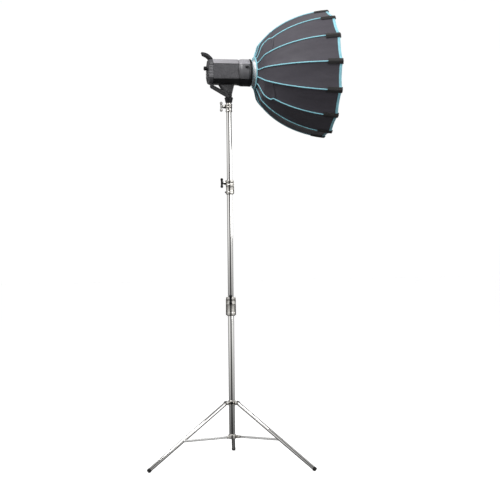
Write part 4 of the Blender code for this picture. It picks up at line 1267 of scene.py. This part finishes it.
# azimuths in degrees from +X, and how bright the tent is there
TENT = [(-180, 1.0), (-150, 1.0), (-132, 0.85), (-120, 0.05), (-86, 0.05), (-74, 0.85), (-50, 1.1),
        (-10, 1.1), (4, 0.8), (14, 0.22), (58, 0.22), (68, 0.9), (90, 0.9), (98, 0.22), (146, 0.22),
        (158, 0.8), (180, 1.0)]
# the same from straight down, at 0, to straight up, at 1
TENT_HEIGHTS = [(0.0, 0.16), (0.32, 0.16), (0.55, 1.0), (0.7, 1.0), (0.8, 0.55), (0.9, 0.55), (1.0, 0.9)]


def make_camera():
    turn = math.radians(CAMERA_TURN)
    forward = Vector((math.sin(turn), math.cos(turn), 0))
    right = Vector((math.cos(turn), -math.sin(turn), 0))
    data = bpy.data.cameras.new("camera")
    data.lens = CAMERA_LENS
    data.clip_end = 100
    camera = bpy.data.objects.new("camera", data)
    bpy.context.scene.collection.objects.link(camera)
    spot = COLUMN - forward * CAMERA_DISTANCE + right * CAMERA_SIDE + Z * CAMERA_HEIGHT
    view = placed(spot, -forward, right)
    camera.matrix_world = view @ Matrix.Rotation(math.radians(CAMERA_ROLL), 4, "Z")
    bpy.context.scene.camera = camera


def area_light(name, spot, target, size, power):
    data = bpy.data.lights.new(name, "AREA")
    data.shape = "RECTANGLE"
    data.size, data.size_y = size
    data.energy = power
    lamp = bpy.data.objects.new(name, data)
    bpy.context.scene.collection.objects.link(lamp)
    lamp.location = COLUMN + Vector(spot)
    lamp.rotation_euler = (COLUMN + Vector(target) - lamp.location).to_track_quat("-Z", "Y").to_euler()


def set_ramp(ramp, stops):
    elements = ramp.color_ramp.elements
    while len(elements) < len(stops):
        elements.new(0.5)
    for element, (position, value) in zip(elements, stops):
        element.position = position
        element.color = (value, value, value, 1)


def make_world():
    """Even white tent with dark flags, so that polished tubes show streaks as in a product studio."""
    world = bpy.data.worlds.new("studio")
    bpy.context.scene.world = world
    world.use_nodes = True
    direction = add_node(world, "TexCoord").outputs["Generated"]
    parts = add_node(world, "SeparateXYZ", Vector=direction).outputs
    angle = add_node(world, "Math", {"operation": "ARCTAN2"}, Value=parts["Y"])
    world.node_tree.links.new(parts["X"], angle.inputs[1])
    turn = add_node(world, "MapRange", Value=angle.outputs[0], From_Min=-math.pi, From_Max=math.pi)
    ramp = add_node(world, "ValToRGB", Fac=turn.outputs["Result"])
    set_ramp(ramp, [((azimuth + 180) / 360, value) for azimuth, value in TENT])
    height = add_node(world, "MapRange", Value=parts["Z"], From_Min=-1.0)
    levels = add_node(world, "ValToRGB", Fac=height.outputs["Result"])
    set_ramp(levels, TENT_HEIGHTS)
    fade = add_node(world, "VectorMath", {"operation": "SCALE"}, Vector=ramp.outputs["Color"],
                    Scale=levels.outputs["Color"])
    mix = add_node(world, "Mix", {"data_type": "RGBA"})
    factor, dark, bright = mix.inputs[0], mix.inputs[6], mix.inputs[7]
    world.node_tree.links.new(add_node(world, "LightPath").outputs["Is Camera Ray"], factor)
    world.node_tree.links.new(fade.outputs["Vector"], dark)
    bright.default_value = (1.1, 1.1, 1.1, 1)
    background = world.node_tree.nodes["Background"]
    world.node_tree.links.new(mix.outputs[2], background.inputs["Color"])
    background.inputs["Strength"].default_value = 0.92


def make_floor():
    bm = bmesh.new()
    bmesh.ops.create_grid(bm, x_segments=8, y_segments=8, size=40)
    floor = bpy.data.objects.new("floor", finished(bm))
    bpy.context.scene.collection.objects.link(floor)
    floor.location.z = -0.0005
    pale, _ = finish("pale_floor", "", (0.8, 0.8, 0.8), 0.75, patches=0.5, tint=0.01,
                     Emission_Color=(1, 1, 1, 1), Emission_Strength=0.66)
    floor.visible_diffuse = floor.visible_glossy = False  # so that the studio below the object stays dark
    floor.data.materials.append(pale)


def build_studio():
    make_camera()
    make_world()
    make_floor()
    area_light("key", (-1.4, -1.4, 4.4), (0.2, 0, 1.6), (1.8, 1.8), 85)
    area_light("fill", (2.6, -3.8, 2.6), (0.2, 0, 1.8), (2.0, 2.0), 38)
    area_light("front", (4.5, 0.5, 2.4), (0.5, 0, 1.9), (2.0, 2.0), 30)
    bpy.context.scene.view_settings.view_transform = "Standard"


build_studio()
build_stand()
build_light()
build_softbox()
